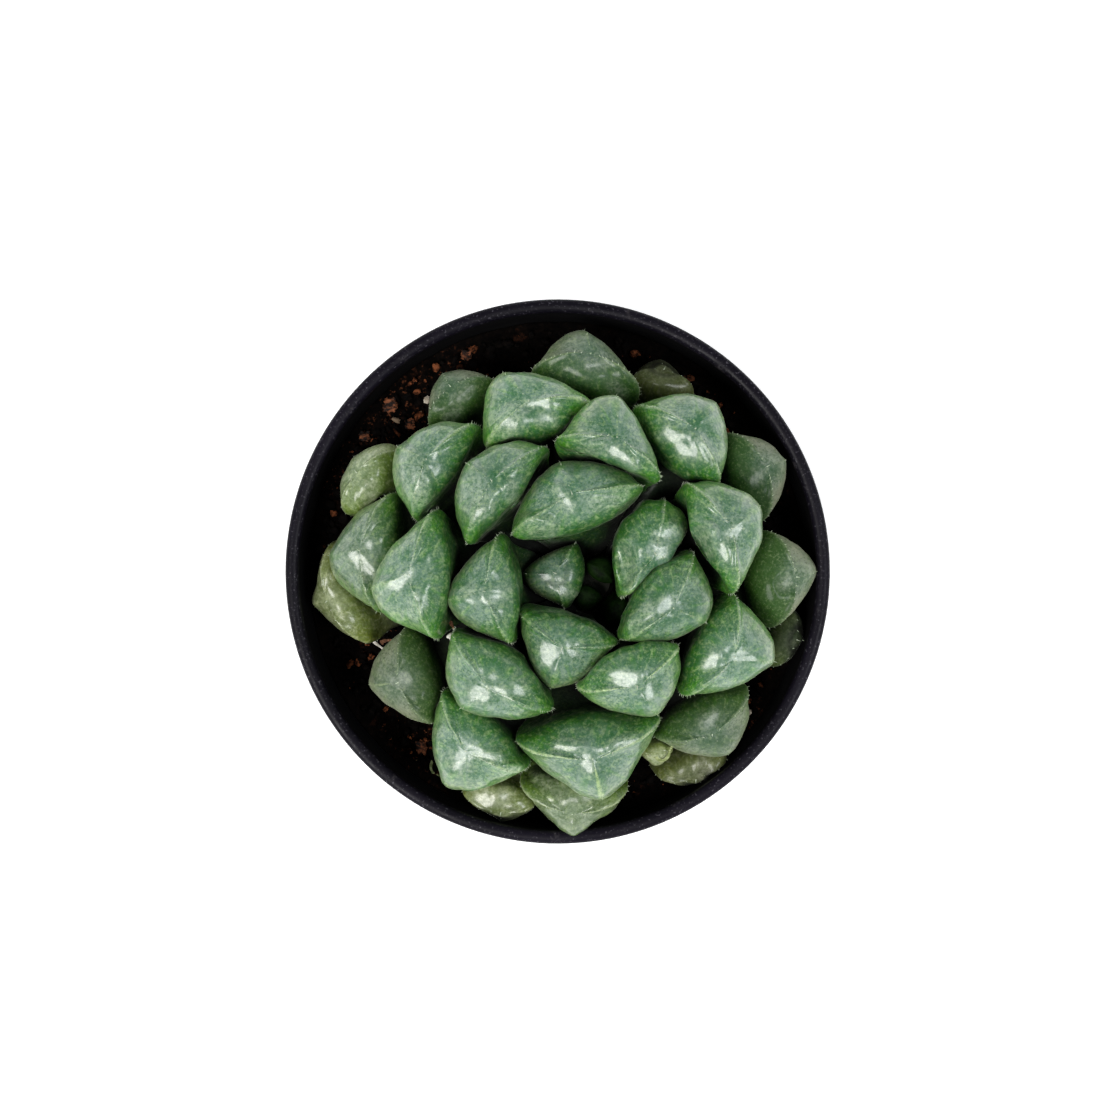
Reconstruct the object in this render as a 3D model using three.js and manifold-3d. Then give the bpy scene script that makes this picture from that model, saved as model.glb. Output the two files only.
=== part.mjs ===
// A potted haworthia: one rosette of plump, three-edged leaves on a short stem, rooted in coarse
// soil in a round plastic nursery pot. Millimetres, +Z up, +Y to the top of the view from above.
// The origin is the middle of the pot's underside, where it stands.
import * as THREE from "three";
import { mergeVertices } from "three/addons/utils/BufferGeometryUtils.js";
import Module from "manifold-3d";

// ---- Driving dimensions -------------------------------------------------------------------
const GAP = 0.3; // clearance between touching pieces
const WELD = 1e-3; // points nearer than this are one point

const POT = {
  height: 70,
  rimRadius: 42.5, // outside of the lip
  lipBand: 2.1, // width of the lip seen from above
  lipHeight: 2.6,
  footRadius: 29,
  wall: 1.1,
  collarHeight: 15, // the wider band below the lip
  collarStep: 1.6,
  collarTaper: 0.5, // how much narrower the collar is at its foot
  lipRound: 0.8,
  floor: 1.6,
  floorFillet: 1.2,
  footBand: 5.5, // flat ring that the pot stands on
  footRise: 1.2, // how far the middle of the underside is raised
  footBevel: 1,
  sides: 48,
};
const DRAIN = { radius: 3, circle: 15, count: 6, sides: 16, drillLength: 10 };

const CROWN = new THREE.Vector2(5.3, -1.6); // axis of the stem, seen from the pot's own axis
const SOIL = {
  level: 58,
  rings: 9,
  sides: 40,
  wallGap: 0.45,
  footBevel: 1.6,
  humps: [
    // height, then radians per millimetre in x and in y, and phase
    [0.2, 0.9, 0.8, 1.3],
    [0.2, 0.9, -0.8, 1.3],
    [0.4, 0.5, -0.7, 2],
  ],
};
const STEM = {
  foot: 49,
  shoulder: 60, // height at which it begins to narrow
  top: 71,
  footRadius: 3.4,
  footTaper: 2.2,
  radius: 6,
  topRadius: 2.6,
  capHeight: 0.8,
  sides: 16,
};

// Each leaf, from the youngest to the oldest, as it shows from above:
// azimuth and reach of the middle of its end from the stem's axis, height of that middle, width
// between its two margins, depth from the margins out to the keel, bulge of its inner face, turn
// of the end about its own axis, sideways shift of the keel (1 is half the width), how pointed the
// keel is (1 is a half ellipse) and lean of the end away from upright. Degrees and millimetres.
const LEAVES = [
  // name    azimuth reach height width depth bulge turn keel point lean
  ["leaf_01", 55, 1.8, 72.5, 5, 2.6, 1.2, 0, 0, 1.4, 4],
  ["leaf_02", 250, 1.8, 72.5, 4.6, 2.4, 1.2, 0, 0, 1.4, 4],
  ["leaf_03", 311, 5.6, 72, 5, 3, 1.5, 20, 0, 1.3, 5],
  ["leaf_04", 164, 3.5, 74, 9.5, 7, 2, 6, 0.2, 1.4, 4],
  ["leaf_05", 241, 7.5, 78.5, 15, 9.6, 2, 11, 0.05, 1.5, 6],
  ["leaf_06", 349, 9.8, 80, 16.5, 8, 3, -28, 0.2, 1.3, 6],
  ["leaf_07", 102, 11, 80, 20.5, 7.4, 3, 8, 0, 1.3, 4],
  ["leaf_08", 36, 8.2, 78, 16, 7.2, 3.4, -44, 0.5, 1.3, 5],
  ["leaf_09", 184, 13, 80, 16, 8.8, 1.9, 2, 0.1, 1.4, 7],
  ["leaf_10", 83, 18.6, 81, 16, 9, 2, -14, 0.3, 1.5, 9],
  ["leaf_11", 21, 18.7, 79, 17.5, 8.8, 2.6, 3, 0.15, 1.3, 9],
  ["leaf_12", 293, 13.4, 80, 16.5, 8.4, 3.2, 0, 0.15, 1.3, 8],
  ["leaf_13", 134, 18.4, 80, 18, 7.6, 1.6, 6, 0.05, 1.05, 8],
  ["leaf_14", 224, 18.9, 79, 18.5, 8.2, 3.4, 7, -0.15, 1.3, 8],
  ["leaf_15", 177, 23.5, 78.5, 19, 9.6, 2.6, 3, 0.25, 1.5, 11],
  ["leaf_16", 332, 19.8, 76.5, 16.7, 10.1, 2.3, 2, 0.25, 1.4, 13],
  ["leaf_17", 109, 25.2, 76, 16.5, 9, 2.6, 3, 0.25, 1.2, 13],
  ["leaf_18", 58, 24.3, 76, 16.7, 8.5, 3, -12, 0.05, 1.2, 12],
  ["leaf_19", 143, 27.9, 76, 16.5, 8, 1.6, 4, 0.1, 1.1, 11],
  ["leaf_20", 268, 22, 75, 22, 9.4, 2.5, 11, 0.05, 1.5, 14],
  ["leaf_21", 234, 27.8, 74, 16.8, 10.1, 2.2, -7, 0.15, 1.2, 13],
  ["leaf_22", 172, 31.4, 71.5, 18.2, 8.9, 1.8, 2, 0.15, 1.3, 18],
  ["leaf_23", 209, 29.6, 71, 15.6, 8.2, 2.8, -14, -0.1, 1.4, 18],
  ["leaf_24", 310, 26, 71, 15.5, 7.4, 2.5, -14, 0.15, 1.2, 18],
  ["leaf_25", 1, 27, 70, 14.5, 8, 3.7, 3, 0.1, 1.5, 28],
  ["leaf_26", 35, 28.2, 70, 14.2, 7.2, 2.8, -12, -0.05, 1.2, 26],
  ["leaf_27", 92, 30.4, 70.5, 16, 8.3, 2.2, -12, 0.25, 1.5, 28],
  ["leaf_28", 126, 33.9, 69, 12, 5.6, 2.2, -1, -0.05, 1.2, 28],
  ["leaf_29", 155, 36.6, 69, 13, 5.4, 2.2, 1, 0.25, 1.2, 28],
  ["leaf_30", 265, 31, 68.5, 16.2, 8.6, 1.6, 1, 0.1, 1.4, 28],
  ["leaf_31", 291, 27.4, 69.5, 5, 3, 1, -1, 0.05, 1.4, 26],
  ["leaf_32", 182, 36.8, 65, 16.2, 6.6, 1.8, 19, -0.1, 1.3, 34],
  ["leaf_33", 247, 35.4, 65, 12.2, 4.5, 2, 17, 0.05, 1.1, 36],
  ["leaf_34", 344, 30.4, 65, 9.5, 5, 1.9, 2, 0.1, 1.2, 34],
  ["leaf_35", 70, 31.8, 64.5, 10, 5, 1.9, 11, 0.2, 1.3, 44],
  ["leaf_36", 299, 31.6, 64.5, 11.5, 5, 1.9, -12, 0.4, 1.2, 36],
];
const OLD_LEAVES = 8; // the last rows of the table, olive instead of green

// Chips of bark and grit on the soil: place from the pot's axis, length, width, height and turn.
const CHIPS = [
  // name        x      y    long wide high turn
  ["chip_bark_1", -26.8, 26.6, 3.4, 2.5, 1.5, 70],
  ["chip_bark_2", -30.9, 21.6, 2.6, 1.8, 1.2, 15],
  ["chip_bark_3", -23.6, 23.6, 2.8, 1.6, 1.1, 120],
  ["chip_bark_4", 28.4, -24.8, 3, 2, 1.3, 45],
  ["chip_bark_5", -21.8, -28.2, 3.2, 2.1, 1.2, 100],
  ["chip_bark_6", -14.6, 34.6, 2.4, 1.8, 1.2, 160],
  ["chip_grit_1", -20.9, 27.4, 1.6, 1.4, 1, 30],
  ["chip_grit_2", 30.6, -22.6, 1.5, 1.3, 1, 0],
];

// A pale splinter and a dried shred of leaf that lie on the soil: points from the pot's axis.
const SPLINTER = { from: [-32.2, -9.2], to: [-27, -13.1], radius: 0.42, rise: 1.2, sides: 6 };
const SHRED = {
  points: [[-19.2, -29.8], [-20.3, -31], [-20.1, -32.1], [-18.9, -32.8], [-17.4, -33]],
  radius: 0.4,
  steps: 14,
  sides: 6,
};

const LEAF = {
  sides: 12, // points round a leaf, so that 0 and 6 are its two margins
  bodyStations: [0, 0.14, 0.35, 0.58, 0.8, 1], // along the spine, from the stem to the widest place
  endStations: [0.34, 0.62, 0.85], // over the domed end, where 1 is the tip
  rootWidth: 3.6,
  rootDepth: 1.3,
  rootGap: 0.5, // between the stem and a leaf's foot
  youngRoot: 70, // height at which the youngest leaf leaves the stem
  oldRoot: 60,
  youngRise: 82, // how steeply it leaves, in degrees
  oldRise: 4,
  outPull: 0.45, // how long it keeps going outwards, over its reach
  swelling: 1.8, // how late along it a leaf grows thick
  upPull: 0.7, // how long it keeps going upwards, over its rise
  domeRatio: 0.36, // height of the domed end over its width
  tipPlace: 0.3, // the tip's place between the inner face and the keel
  bulgeSharpness: 1.25,
  clearances: [0.4, 0.55, 0.7, 0.9, 1.2, 1.5, 1.9, 2.4], // tried in turn, from a leaf's own middle
  leastGap: 0.15,
  leastRadius: 0.12,
  core: 1.3, // room that a leaf's middle needs all round
  slideSteps: 20,
};

// A finish seen from both sides, so that a line from inside a piece meets its surface too.
function finish(color, roughness) {
  return new THREE.MeshStandardMaterial({ color, roughness, metalness: 0, side: THREE.DoubleSide });
}

const COLOURS = {
  plastic: finish(0x17151a, 0.42),
  soil: finish(0x1c120e, 0.95),
  leaf: finish(0x4f7d56, 0.35),
  oldLeaf: finish(0x6d7448, 0.45),
  stem: finish(0x5d6238, 0.7),
  bark: finish(0x6e3a22, 0.9),
  pale: finish(0xcfc9a4, 0.8),
};

// ---- Shared helpers -----------------------------------------------------------------------
const radians = THREE.MathUtils.degToRad;
const mix = THREE.MathUtils.lerp;
const UP = new THREE.Vector3(0, 0, 1);

function named(name, geometry, material) {
  const mesh = new THREE.Mesh(geometry, material);
  mesh.name = name;
  return mesh;
}

// A closed surface through rings of points, each with the same count, from one end point to the other.
function closedLoft(firstPoint, rings, lastPoint) {
  const count = rings[0].length;
  const points = [firstPoint, ...rings.flat(), lastPoint];
  const last = points.length - 1;
  const index = [];
  for (let side = 0; side < count; side++) {
    const next = (side + 1) % count;
    index.push(0, 1 + next, 1 + side);
    for (let ring = 0; ring < rings.length - 1; ring++) {
      const low = 1 + ring * count;
      const high = low + count;
      index.push(low + side, low + next, high + next);
      index.push(low + side, high + next, high + side);
    }
    const top = 1 + (rings.length - 1) * count;
    index.push(top + side, top + next, last);
  }
  return new THREE.BufferGeometry().setFromPoints(points).setIndex(index);
}

const wasm = await Module();
wasm.setup();

function toSolid(geometry) {
  const bare = new THREE.BufferGeometry();
  bare.setAttribute("position", geometry.getAttribute("position"));
  bare.setIndex(geometry.getIndex());
  const merged = mergeVertices(bare, WELD);
  const vertProperties = new Float32Array(merged.getAttribute("position").array);
  const triVerts = new Uint32Array(merged.getIndex().array);
  return new wasm.Manifold(new wasm.Mesh({ numProp: 3, vertProperties, triVerts }));
}

function toGeometry(solid) {
  const mesh = solid.getMesh();
  const geometry = new THREE.BufferGeometry();
  geometry.setAttribute("position", new THREE.BufferAttribute(mesh.vertProperties, 3));
  geometry.setIndex(new THREE.BufferAttribute(mesh.triVerts, 1));
  return geometry;
}

// ---- Pot ----------------------------------------------------------------------------------
const collarFoot = POT.height - POT.collarHeight;
const collarRadius = POT.rimRadius - POT.lipBand + POT.wall; // outside of the collar, at the lip
const collarFootRadius = collarRadius - POT.collarTaper;
const bodyRadius = collarFootRadius - POT.collarStep; // outside of the wall just below the collar
const lipInside = POT.rimRadius - POT.lipBand;
const floorTop = POT.footRise + POT.floor;

// Radius of the pot's inner wall at a height.
function innerRadius(height) {
  if (height >= collarFoot) {
    return mix(collarFootRadius, collarRadius, (height - collarFoot) / POT.collarHeight) - POT.wall;
  }
  return mix(POT.footRadius, bodyRadius, height / collarFoot) - POT.wall;
}

// The pot's outline from the middle of its underside, up the outside, over the lip and down the
// inside: radius and height.
function potProfile() {
  const { rimRadius, height, lipRound, footRadius, footBand, footRise, footBevel } = POT;
  const lipFoot = height - POT.lipHeight;
  const bodyTop = collarFoot - POT.collarStep;
  const filletTop = floorTop + POT.floorFillet;
  return [
    [0, footRise],
    [footRadius - footBand - footBevel, footRise],
    [footRadius - footBand, 0],
    [footRadius - footBevel, 0],
    [footRadius, footBevel],
    [bodyRadius, bodyTop],
    [collarFootRadius, collarFoot],
    [collarRadius, lipFoot],
    [rimRadius - lipRound / 2, lipFoot],
    [rimRadius, lipFoot + lipRound],
    [rimRadius, height - lipRound],
    [rimRadius - lipRound / 2, height - lipRound / 4],
    [rimRadius - POT.lipBand / 2, height],
    [lipInside + lipRound / 3, height - lipRound / 3],
    [lipInside, height - lipRound],
    [innerRadius(collarFoot), collarFoot],
    [innerRadius(bodyTop), bodyTop],
    [innerRadius(filletTop), filletTop],
    [innerRadius(floorTop) - POT.floorFillet, floorTop],
    [0, floorTop],
  ].map(([radius, at]) => new THREE.Vector2(radius, at));
}

// A straight drill through the pot's floor, for one drain hole.
function makeDrill(order) {
  const turn = (order / DRAIN.count) * 2 * Math.PI;
  const drill = new THREE.CylinderGeometry(DRAIN.radius, DRAIN.radius, DRAIN.drillLength, DRAIN.sides);
  drill.rotateX(Math.PI / 2);
  drill.translate(DRAIN.circle * Math.cos(turn), DRAIN.circle * Math.sin(turn), POT.footRise);
  return toSolid(drill);
}

function makePot() {
  const shell = toSolid(new THREE.LatheGeometry(potProfile(), POT.sides).rotateX(Math.PI / 2));
  const drills = Array.from({ length: DRAIN.count }, (_, order) => makeDrill(order));
  const drilled = drills.reduce((solid, drill) => solid.subtract(drill), shell);
  return named("nursery_pot", toGeometry(drilled), COLOURS.plastic);
}

// ---- Soil and stem, about the stem's axis ---------------------------------------------------
function ring(radius, height, sides) {
  return Array.from({ length: sides }, (_, side) => {
    const turn = (side / sides) * 2 * Math.PI;
    return new THREE.Vector3(radius * Math.cos(turn), radius * Math.sin(turn), height);
  });
}

// Height of the soil's surface at a place, with the humps of a coarse mix.
function soilHeight(x, y) {
  const add = (sum, [height, byX, byY, phase]) => sum + height * Math.sin(byX * x + byY * y + phase);
  return SOIL.humps.reduce(add, SOIL.level);
}

// The ring where lines from the stem's axis meet the soil's side, clear of the pot's wall.
function soilSide(height, inset) {
  const radius = innerRadius(height) - SOIL.wallGap - inset;
  return ring(1, height, SOIL.sides).map(({ x, y }) => {
    const along = CROWN.x * x + CROWN.y * y;
    const reach = Math.sqrt(along ** 2 + radius ** 2 - CROWN.lengthSq()) - along;
    return new THREE.Vector3(x * reach, y * reach, height);
  });
}

// Rings of the soil's surface, from its edge in to the pocket that the stem stands in.
function soilSurface(pocket) {
  const edge = soilSide(SOIL.level, 0);
  return Array.from({ length: SOIL.rings }, (_, step) =>
    edge.map((point, side) => {
      const place = point.clone().lerp(pocket[side], step / (SOIL.rings - 1));
      return place.setZ(soilHeight(place.x, place.y));
    }),
  );
}

function makeSoil() {
  const foot = floorTop + GAP;
  const pocketFoot = STEM.foot - GAP;
  const pocket = ring(STEM.radius + GAP, pocketFoot + STEM.footTaper, SOIL.sides);
  const rings = [
    soilSide(foot, SOIL.footBevel),
    soilSide(foot + SOIL.footBevel, 0),
    soilSide(collarFoot - POT.collarStep, 0),
    soilSide(collarFoot, 0),
    ...soilSurface(pocket),
    pocket,
    ring(STEM.footRadius + GAP, pocketFoot, SOIL.sides),
  ];
  const low = new THREE.Vector3(-CROWN.x, -CROWN.y, foot);
  const high = new THREE.Vector3(0, 0, pocketFoot);
  return named("soil", closedLoft(low, rings, high), COLOURS.soil);
}

// Radius of the stem at a height above its foot.
function stemRadius(height) {
  const part = (height - STEM.shoulder) / (STEM.top - STEM.shoulder);
  return mix(STEM.radius, STEM.topRadius, Math.max(part, 0));
}

function makeStem() {
  const capFoot = STEM.top - STEM.capHeight;
  const rings = [
    ring(STEM.footRadius, STEM.foot, STEM.sides),
    ring(STEM.radius, STEM.foot + STEM.footTaper, STEM.sides),
    ring(STEM.radius, STEM.shoulder, STEM.sides),
    ring(stemRadius(capFoot), capFoot, STEM.sides),
  ];
  const foot = new THREE.Vector3(0, 0, STEM.foot);
  const top = new THREE.Vector3(0, 0, STEM.top);
  return named("stem", closedLoft(foot, rings, top), COLOURS.stem);
}

// ---- Leaves, about the stem's axis ----------------------------------------------------------


function bearing(degrees) {
  return new THREE.Vector3(Math.cos(radians(degrees)), Math.sin(radians(degrees)), 0);
}

// A level direction, raised by an angle.
function tilted(level, rise) {
  return level.clone().multiplyScalar(Math.cos(rise)).addScaledVector(UP, Math.sin(rise));
}

// A leaf's cross-section at one turn about its middle: x across it, y out towards the keel.
function section(leaf, turn) {
  const out = Math.sin(turn);
  const keel = Math.max(out, 0);
  const across = (leaf.width / 2) * (Math.cos(turn) - leaf.keel * keel ** 2);
  const inwards = leaf.bulge * Math.max(-out, 0) ** LEAF.bulgeSharpness;
  const depth = leaf.depth * keel ** leaf.point - inwards;
  return new THREE.Vector2(across, depth);
}

// The spine from the stem to the middle of the leaf's widest place, leaving the stem at its own
// rise and reaching the end at its own lean.
function makeSpine(leaf, age) {
  const away = bearing(leaf.azimuth);
  const rise = radians(mix(LEAF.youngRise, LEAF.oldRise, age));
  const height = mix(LEAF.youngRoot, LEAF.oldRoot, age);
  const rootReach = stemRadius(height) + LEAF.rootGap;
  const root = away.clone().multiplyScalar(rootReach).setZ(height);
  const end = away.clone().multiplyScalar(leaf.reach).setZ(leaf.height);
  const outPull = Math.abs(leaf.reach - rootReach) * LEAF.outPull;
  const upPull = (leaf.height - height) * LEAF.upPull;
  const leaving = tilted(away, rise);
  const arriving = tilted(bearing(leaf.azimuth + leaf.turn), radians(90 - leaf.lean));
  return new THREE.CubicBezierCurve3(
    root,
    root.clone().addScaledVector(leaving, outPull),
    end.clone().addScaledVector(arriving, -upPull),
    end,
  );
}

// Where a leaf's spine has got to, and which ways are across it and out from the stem there.
function frameAt(leaf, spine, along) {
  const tangent = spine.getTangent(along);
  const side = bearing(leaf.azimuth + leaf.turn * along + 90);
  const out = side.clone().cross(tangent).normalize();
  return { origin: spine.getPoint(along), tangent, side, out };
}

// A flat point of a cross-section, put across a frame at a height above its origin.
function place({ origin, tangent, side, out }, flat, above) {
  const lifted = origin.clone().addScaledVector(tangent, above);
  return lifted.addScaledVector(side, -flat.x).addScaledVector(out, flat.y);
}

// One ring of a leaf, from its flat points and its flat middle.
function makeRing(frame, flats, flatMiddle, above) {
  const points = flats.map((flat) => place(frame, flat, above));
  return { points, middle: place(frame, flatMiddle, above), out: frame.out };
}

// A leaf's rings, along the spine and then over the domed end, and the step from the last to its tip.
function leafRings(leaf, age) {
  const spine = makeSpine(leaf, age);
  const outline = ring(1, 0, LEAF.sides).map(({ x, y }) => section(leaf, Math.atan2(y, x)));
  const flatTip = new THREE.Vector2(0, leaf.depth * LEAF.tipPlace);
  const body = LEAF.bodyStations.map((along) => {
    const wide = mix(LEAF.rootWidth / leaf.width, 1, along);
    const deep = mix(LEAF.rootDepth / leaf.depth, 1, along ** LEAF.swelling);
    const shrink = new THREE.Vector2(wide, deep);
    const flats = outline.map((flat) => flat.clone().multiply(shrink));
    return makeRing(frameAt(leaf, spine, along), flats, flatTip.clone().multiply(shrink), 0);
  });
  const endFrame = frameAt(leaf, spine, 1);
  const dome = leaf.width * LEAF.domeRatio;
  const end = LEAF.endStations.map((station) => {
    const swing = (station * Math.PI) / 2;
    const flats = outline.map((flat) => flat.clone().lerp(flatTip, 1 - Math.cos(swing)));
    return makeRing(endFrame, flats, flatTip, dome * Math.sin(swing));
  });
  const rings = [...body, ...end];
  return { rings, lastStep: place(endFrame, flatTip, dome).sub(rings.at(-1).middle) };
}

// The nearest place where a line from a ring's middle through one of its points meets a neighbour.
function meet(ring, point, neighbours) {
  const towards = point.clone().sub(ring.middle).normalize();
  const ray = new THREE.Raycaster(ring.middle, towards);
  const [hit] = ray.intersectObjects(neighbours);
  if (!hit) {
    return { distance: Infinity, isInside: false, towards };
  }
  return { distance: hit.distance, isInside: hit.face.normal.dot(towards) > 0, towards };
}

// Slides a ring outwards until its middle lies clear of the leaves that grew before it.
function slideClear(ring, leaves) {
  const isBlocked = () =>
    ring.points.some((point) => {
      const { distance, isInside } = meet(ring, point, leaves);
      return isInside || distance < LEAF.core;
    });
  for (let step = 0; step < LEAF.slideSteps && isBlocked(); step++) {
    [ring.middle, ...ring.points].forEach((point) => point.addScaledVector(ring.out, GAP));
  }
}

// How far each of a ring's points could stand from its middle before the ring meets a neighbour,
// looking through the point and half way to the points beside it.
function measureRoom(ring, neighbours) {
  return ring.points.map((point, turn) => {
    const before = ring.points.at(turn - 1);
    const after = ring.points[(turn + 1) % ring.points.length];
    const looks = [point, point.clone().lerp(before, 0.5), point.clone().lerp(after, 0.5)];
    return Math.min(...looks.map((look) => meet(ring, look, neighbours).distance));
  });
}

// Pulls a ring's points in towards its middle where they would come too near a neighbour.
function press(ring, room, clearance) {
  return ring.points.map((point, turn) => {
    const across = point.clone().sub(ring.middle);
    const allowed = Math.max(room[turn] - clearance, LEAF.leastRadius);
    return ring.middle.clone().addScaledVector(across, Math.min(allowed / across.length(), 1));
  });
}

// A leaf's surface, pressed as far as it takes to keep clear of every neighbour.
function fitLeaf(leaf, age, obstacles, leaves) {
  const { rings, lastStep } = leafRings(leaf, age);
  rings.slice(1).forEach((one) => slideClear(one, leaves));
  const root = rings[0].middle;
  const tip = rings.at(-1).middle.clone().add(lastStep);
  const neighbours = [...obstacles, ...leaves];
  const solids = neighbours.map(({ geometry, position }) => toSolid(geometry).translate(...position));
  const rooms = rings.map((one) => measureRoom(one, neighbours));
  let geometry;
  for (const clearance of LEAF.clearances) {
    const pressed = rings.map((one, order) => press(one, rooms[order], clearance));
    geometry = closedLoft(root, pressed, tip);
    const solid = toSolid(geometry);
    if (solids.every((other) => solid.minGap(other, GAP) > LEAF.leastGap)) {
      break;
    }
  }
  return geometry;
}

function makeLeaves(obstacles) {
  const made = [];
  LEAVES.forEach((row, order) => {
    const [name, azimuth, reach, height, width, depth, bulge, turn, keel, point, lean] = row;
    const leaf = { azimuth, reach, height, width, depth, bulge, turn, keel, point, lean };
    const age = order / (LEAVES.length - 1);
    const isOld = order >= LEAVES.length - OLD_LEAVES;
    const geometry = fitLeaf(leaf, age, obstacles, made);
    const mesh = named(name, geometry, isOld ? COLOURS.oldLeaf : COLOURS.leaf);
    mesh.updateMatrixWorld();
    made.push(mesh);
  });
  return made;
}

// ---- Litter on the soil, about the pot's axis -------------------------------------------------
// Height for the middle of a thing that rests on the soil about one place.
function restingHeight(soil, x, y, halfWidth, halfHeight) {
  const steps = [-halfWidth, 0, halfWidth];
  const under = steps.flatMap((across) =>
    steps.map((along) => {
      const above = new THREE.Vector3(x - CROWN.x + across, y - CROWN.y + along, POT.height);
      const [hit] = new THREE.Raycaster(above, UP.clone().negate()).intersectObject(soil);
      return hit.point.z;
    }),
  );
  return Math.max(...under) + GAP + halfHeight;
}

// A rough stone one millimetre across, stretched to the chip's own size.
function makeChip([name, x, y, long, wide, high, turn], soil) {
  const chip = named(name, new THREE.IcosahedronGeometry(0.5, 0), COLOURS.bark);
  chip.scale.set(long, wide, high);
  chip.rotation.z = radians(turn);
  chip.position.set(x, y, restingHeight(soil, x, y, wide / 4, high / 2));
  return chip;
}

// A round rod along a path.
function tube(path, radius, steps, sides) {
  const outline = new THREE.Shape(ring(radius, 0, sides).map(({ x, y }) => new THREE.Vector2(x, y)));
  return new THREE.ExtrudeGeometry(outline, { extrudePath: path, steps, curveSegments: sides });
}

function makeSplinter(soil) {
  const { from, to, radius, rise, sides } = SPLINTER;
  const [x, y] = [mix(from[0], to[0], 0.5), mix(from[1], to[1], 0.5)];
  const height = restingHeight(soil, x, y, (to[0] - from[0]) / 2, radius);
  const path = new THREE.LineCurve3(
    new THREE.Vector3(...from, height),
    new THREE.Vector3(...to, height + rise),
  );
  return named("pale_splinter", tube(path, radius, 2, sides), COLOURS.pale);
}

function makeShred(soil) {
  const { points, radius, steps, sides } = SHRED;
  const height = ([x, y]) => restingHeight(soil, x, y, radius, radius);
  const path = new THREE.CatmullRomCurve3(
    points.map((point) => new THREE.Vector3(...point, height(point))),
  );
  return named("dried_shred", tube(path, radius, steps, sides), COLOURS.pale);
}

// ---- Assembly -----------------------------------------------------------------------------
const pot = makePot();
const potAboutStem = pot.clone().translateX(-CROWN.x).translateY(-CROWN.y);
potAboutStem.updateMatrixWorld();
const soil = makeSoil();
const stem = makeStem();

const planting = new THREE.Group();
planting.add(soil, stem, ...makeLeaves([potAboutStem, soil, stem]));
planting.position.set(CROWN.x, CROWN.y, 0);

const litter = new THREE.Group();
litter.add(...CHIPS.map((row) => makeChip(row, soil)), makeSplinter(soil), makeShred(soil));

const pottedHaworthia = new THREE.Group();
pottedHaworthia.add(pot, planting, litter);

export default pottedHaworthia;
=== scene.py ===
import math
from types import SimpleNamespace as Group

import bmesh
import bpy
import numpy as np
from mathutils import Matrix, Vector, noise
from mathutils.bvhtree import BVHTree
from mathutils.geometry import convex_hull_2d


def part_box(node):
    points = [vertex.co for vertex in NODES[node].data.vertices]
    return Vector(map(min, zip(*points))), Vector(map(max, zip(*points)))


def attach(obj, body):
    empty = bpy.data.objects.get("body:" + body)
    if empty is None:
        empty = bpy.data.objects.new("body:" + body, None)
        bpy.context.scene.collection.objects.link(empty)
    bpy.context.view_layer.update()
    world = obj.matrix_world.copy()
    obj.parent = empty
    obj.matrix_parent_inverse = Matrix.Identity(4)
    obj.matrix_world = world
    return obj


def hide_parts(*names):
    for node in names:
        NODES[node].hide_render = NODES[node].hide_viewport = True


MM = 0.001
ROOT = "root"

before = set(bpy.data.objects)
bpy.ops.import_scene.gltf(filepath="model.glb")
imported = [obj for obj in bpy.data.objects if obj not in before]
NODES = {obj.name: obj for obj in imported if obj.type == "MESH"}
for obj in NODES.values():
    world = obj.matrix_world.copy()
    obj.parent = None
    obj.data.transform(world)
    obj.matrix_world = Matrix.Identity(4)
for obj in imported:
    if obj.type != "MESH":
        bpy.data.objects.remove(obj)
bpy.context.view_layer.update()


def named(start):
    """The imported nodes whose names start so."""
    return sorted(name for name in NODES if name.startswith(start))


LEAF_NAMES = named("leaf_")  # from the youngest leaf, number 1, to the oldest
# The leaves deep in the middle get a nearly black skin as painted shade.
SHADED = LEAF_NAMES[:3]  # deep in the middle
OLD_LEAVES = LEAF_NAMES[-8:]

POT_LOW, POT_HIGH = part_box("nursery_pot")
RIM_HEIGHT = POT_HIGH.z
RIM_RADIUS = (POT_HIGH.x - POT_LOW.x) / 2
STEM_LOW, STEM_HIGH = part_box("stem")
CROWN = (STEM_LOW + STEM_HIGH) / 2  # a point of the stem's axis

CAMERA = Group(
    place=(-0.81 * MM, 2.97 * MM),  # under the middle of the photograph
    above_rim=380 * MM,
    width_at_rim=172.03 * MM,  # what the photograph's width covers at the rim
    sensor=36.0,
)
PHOTO = Group(width=1105, rim_middle=(557.7, 571.6))  # in the photograph's pixels
PIXEL = CAMERA.width_at_rim / PHOTO.width  # a pixel's size at the rim
EYE = Vector((*CAMERA.place, RIM_HEIGHT + CAMERA.above_rim))
# Each lamp's direction from the plant, its strength, how wide it looks in degrees, and its colour.
LAMPS = {
    "key": ((-0.36, -0.36, 0.86), 2.6, 27, (1.0, 0.985, 0.96)),
    "side": ((0.46, -0.16, 0.87), 1.1, 18, (0.96, 0.98, 1.0)),
}
LAMP_WAYS = {name: Vector(lamp[0]).normalized() for name, lamp in LAMPS.items()}


# ---- Numbers and curves ----
def smoothstep(low, high, value):
    """0 below low, 1 above high and smooth between them, for a number or an array."""
    part = np.clip((value - low) / (high - low), 0.0, 1.0)
    return part * part * (3.0 - 2.0 * part)


def bell(distance, width):
    """1 at no distance, falling away smoothly over about the width."""
    return np.exp(-((distance / width) ** 2))


def path_knots(points):
    """How far along each point, or row of points, lies from the first."""
    steps = np.linalg.norm(np.diff(points, axis=0), axis=-1)
    return np.concatenate([[0], np.cumsum(steps.reshape(len(steps), -1).mean(axis=1))])


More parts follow.
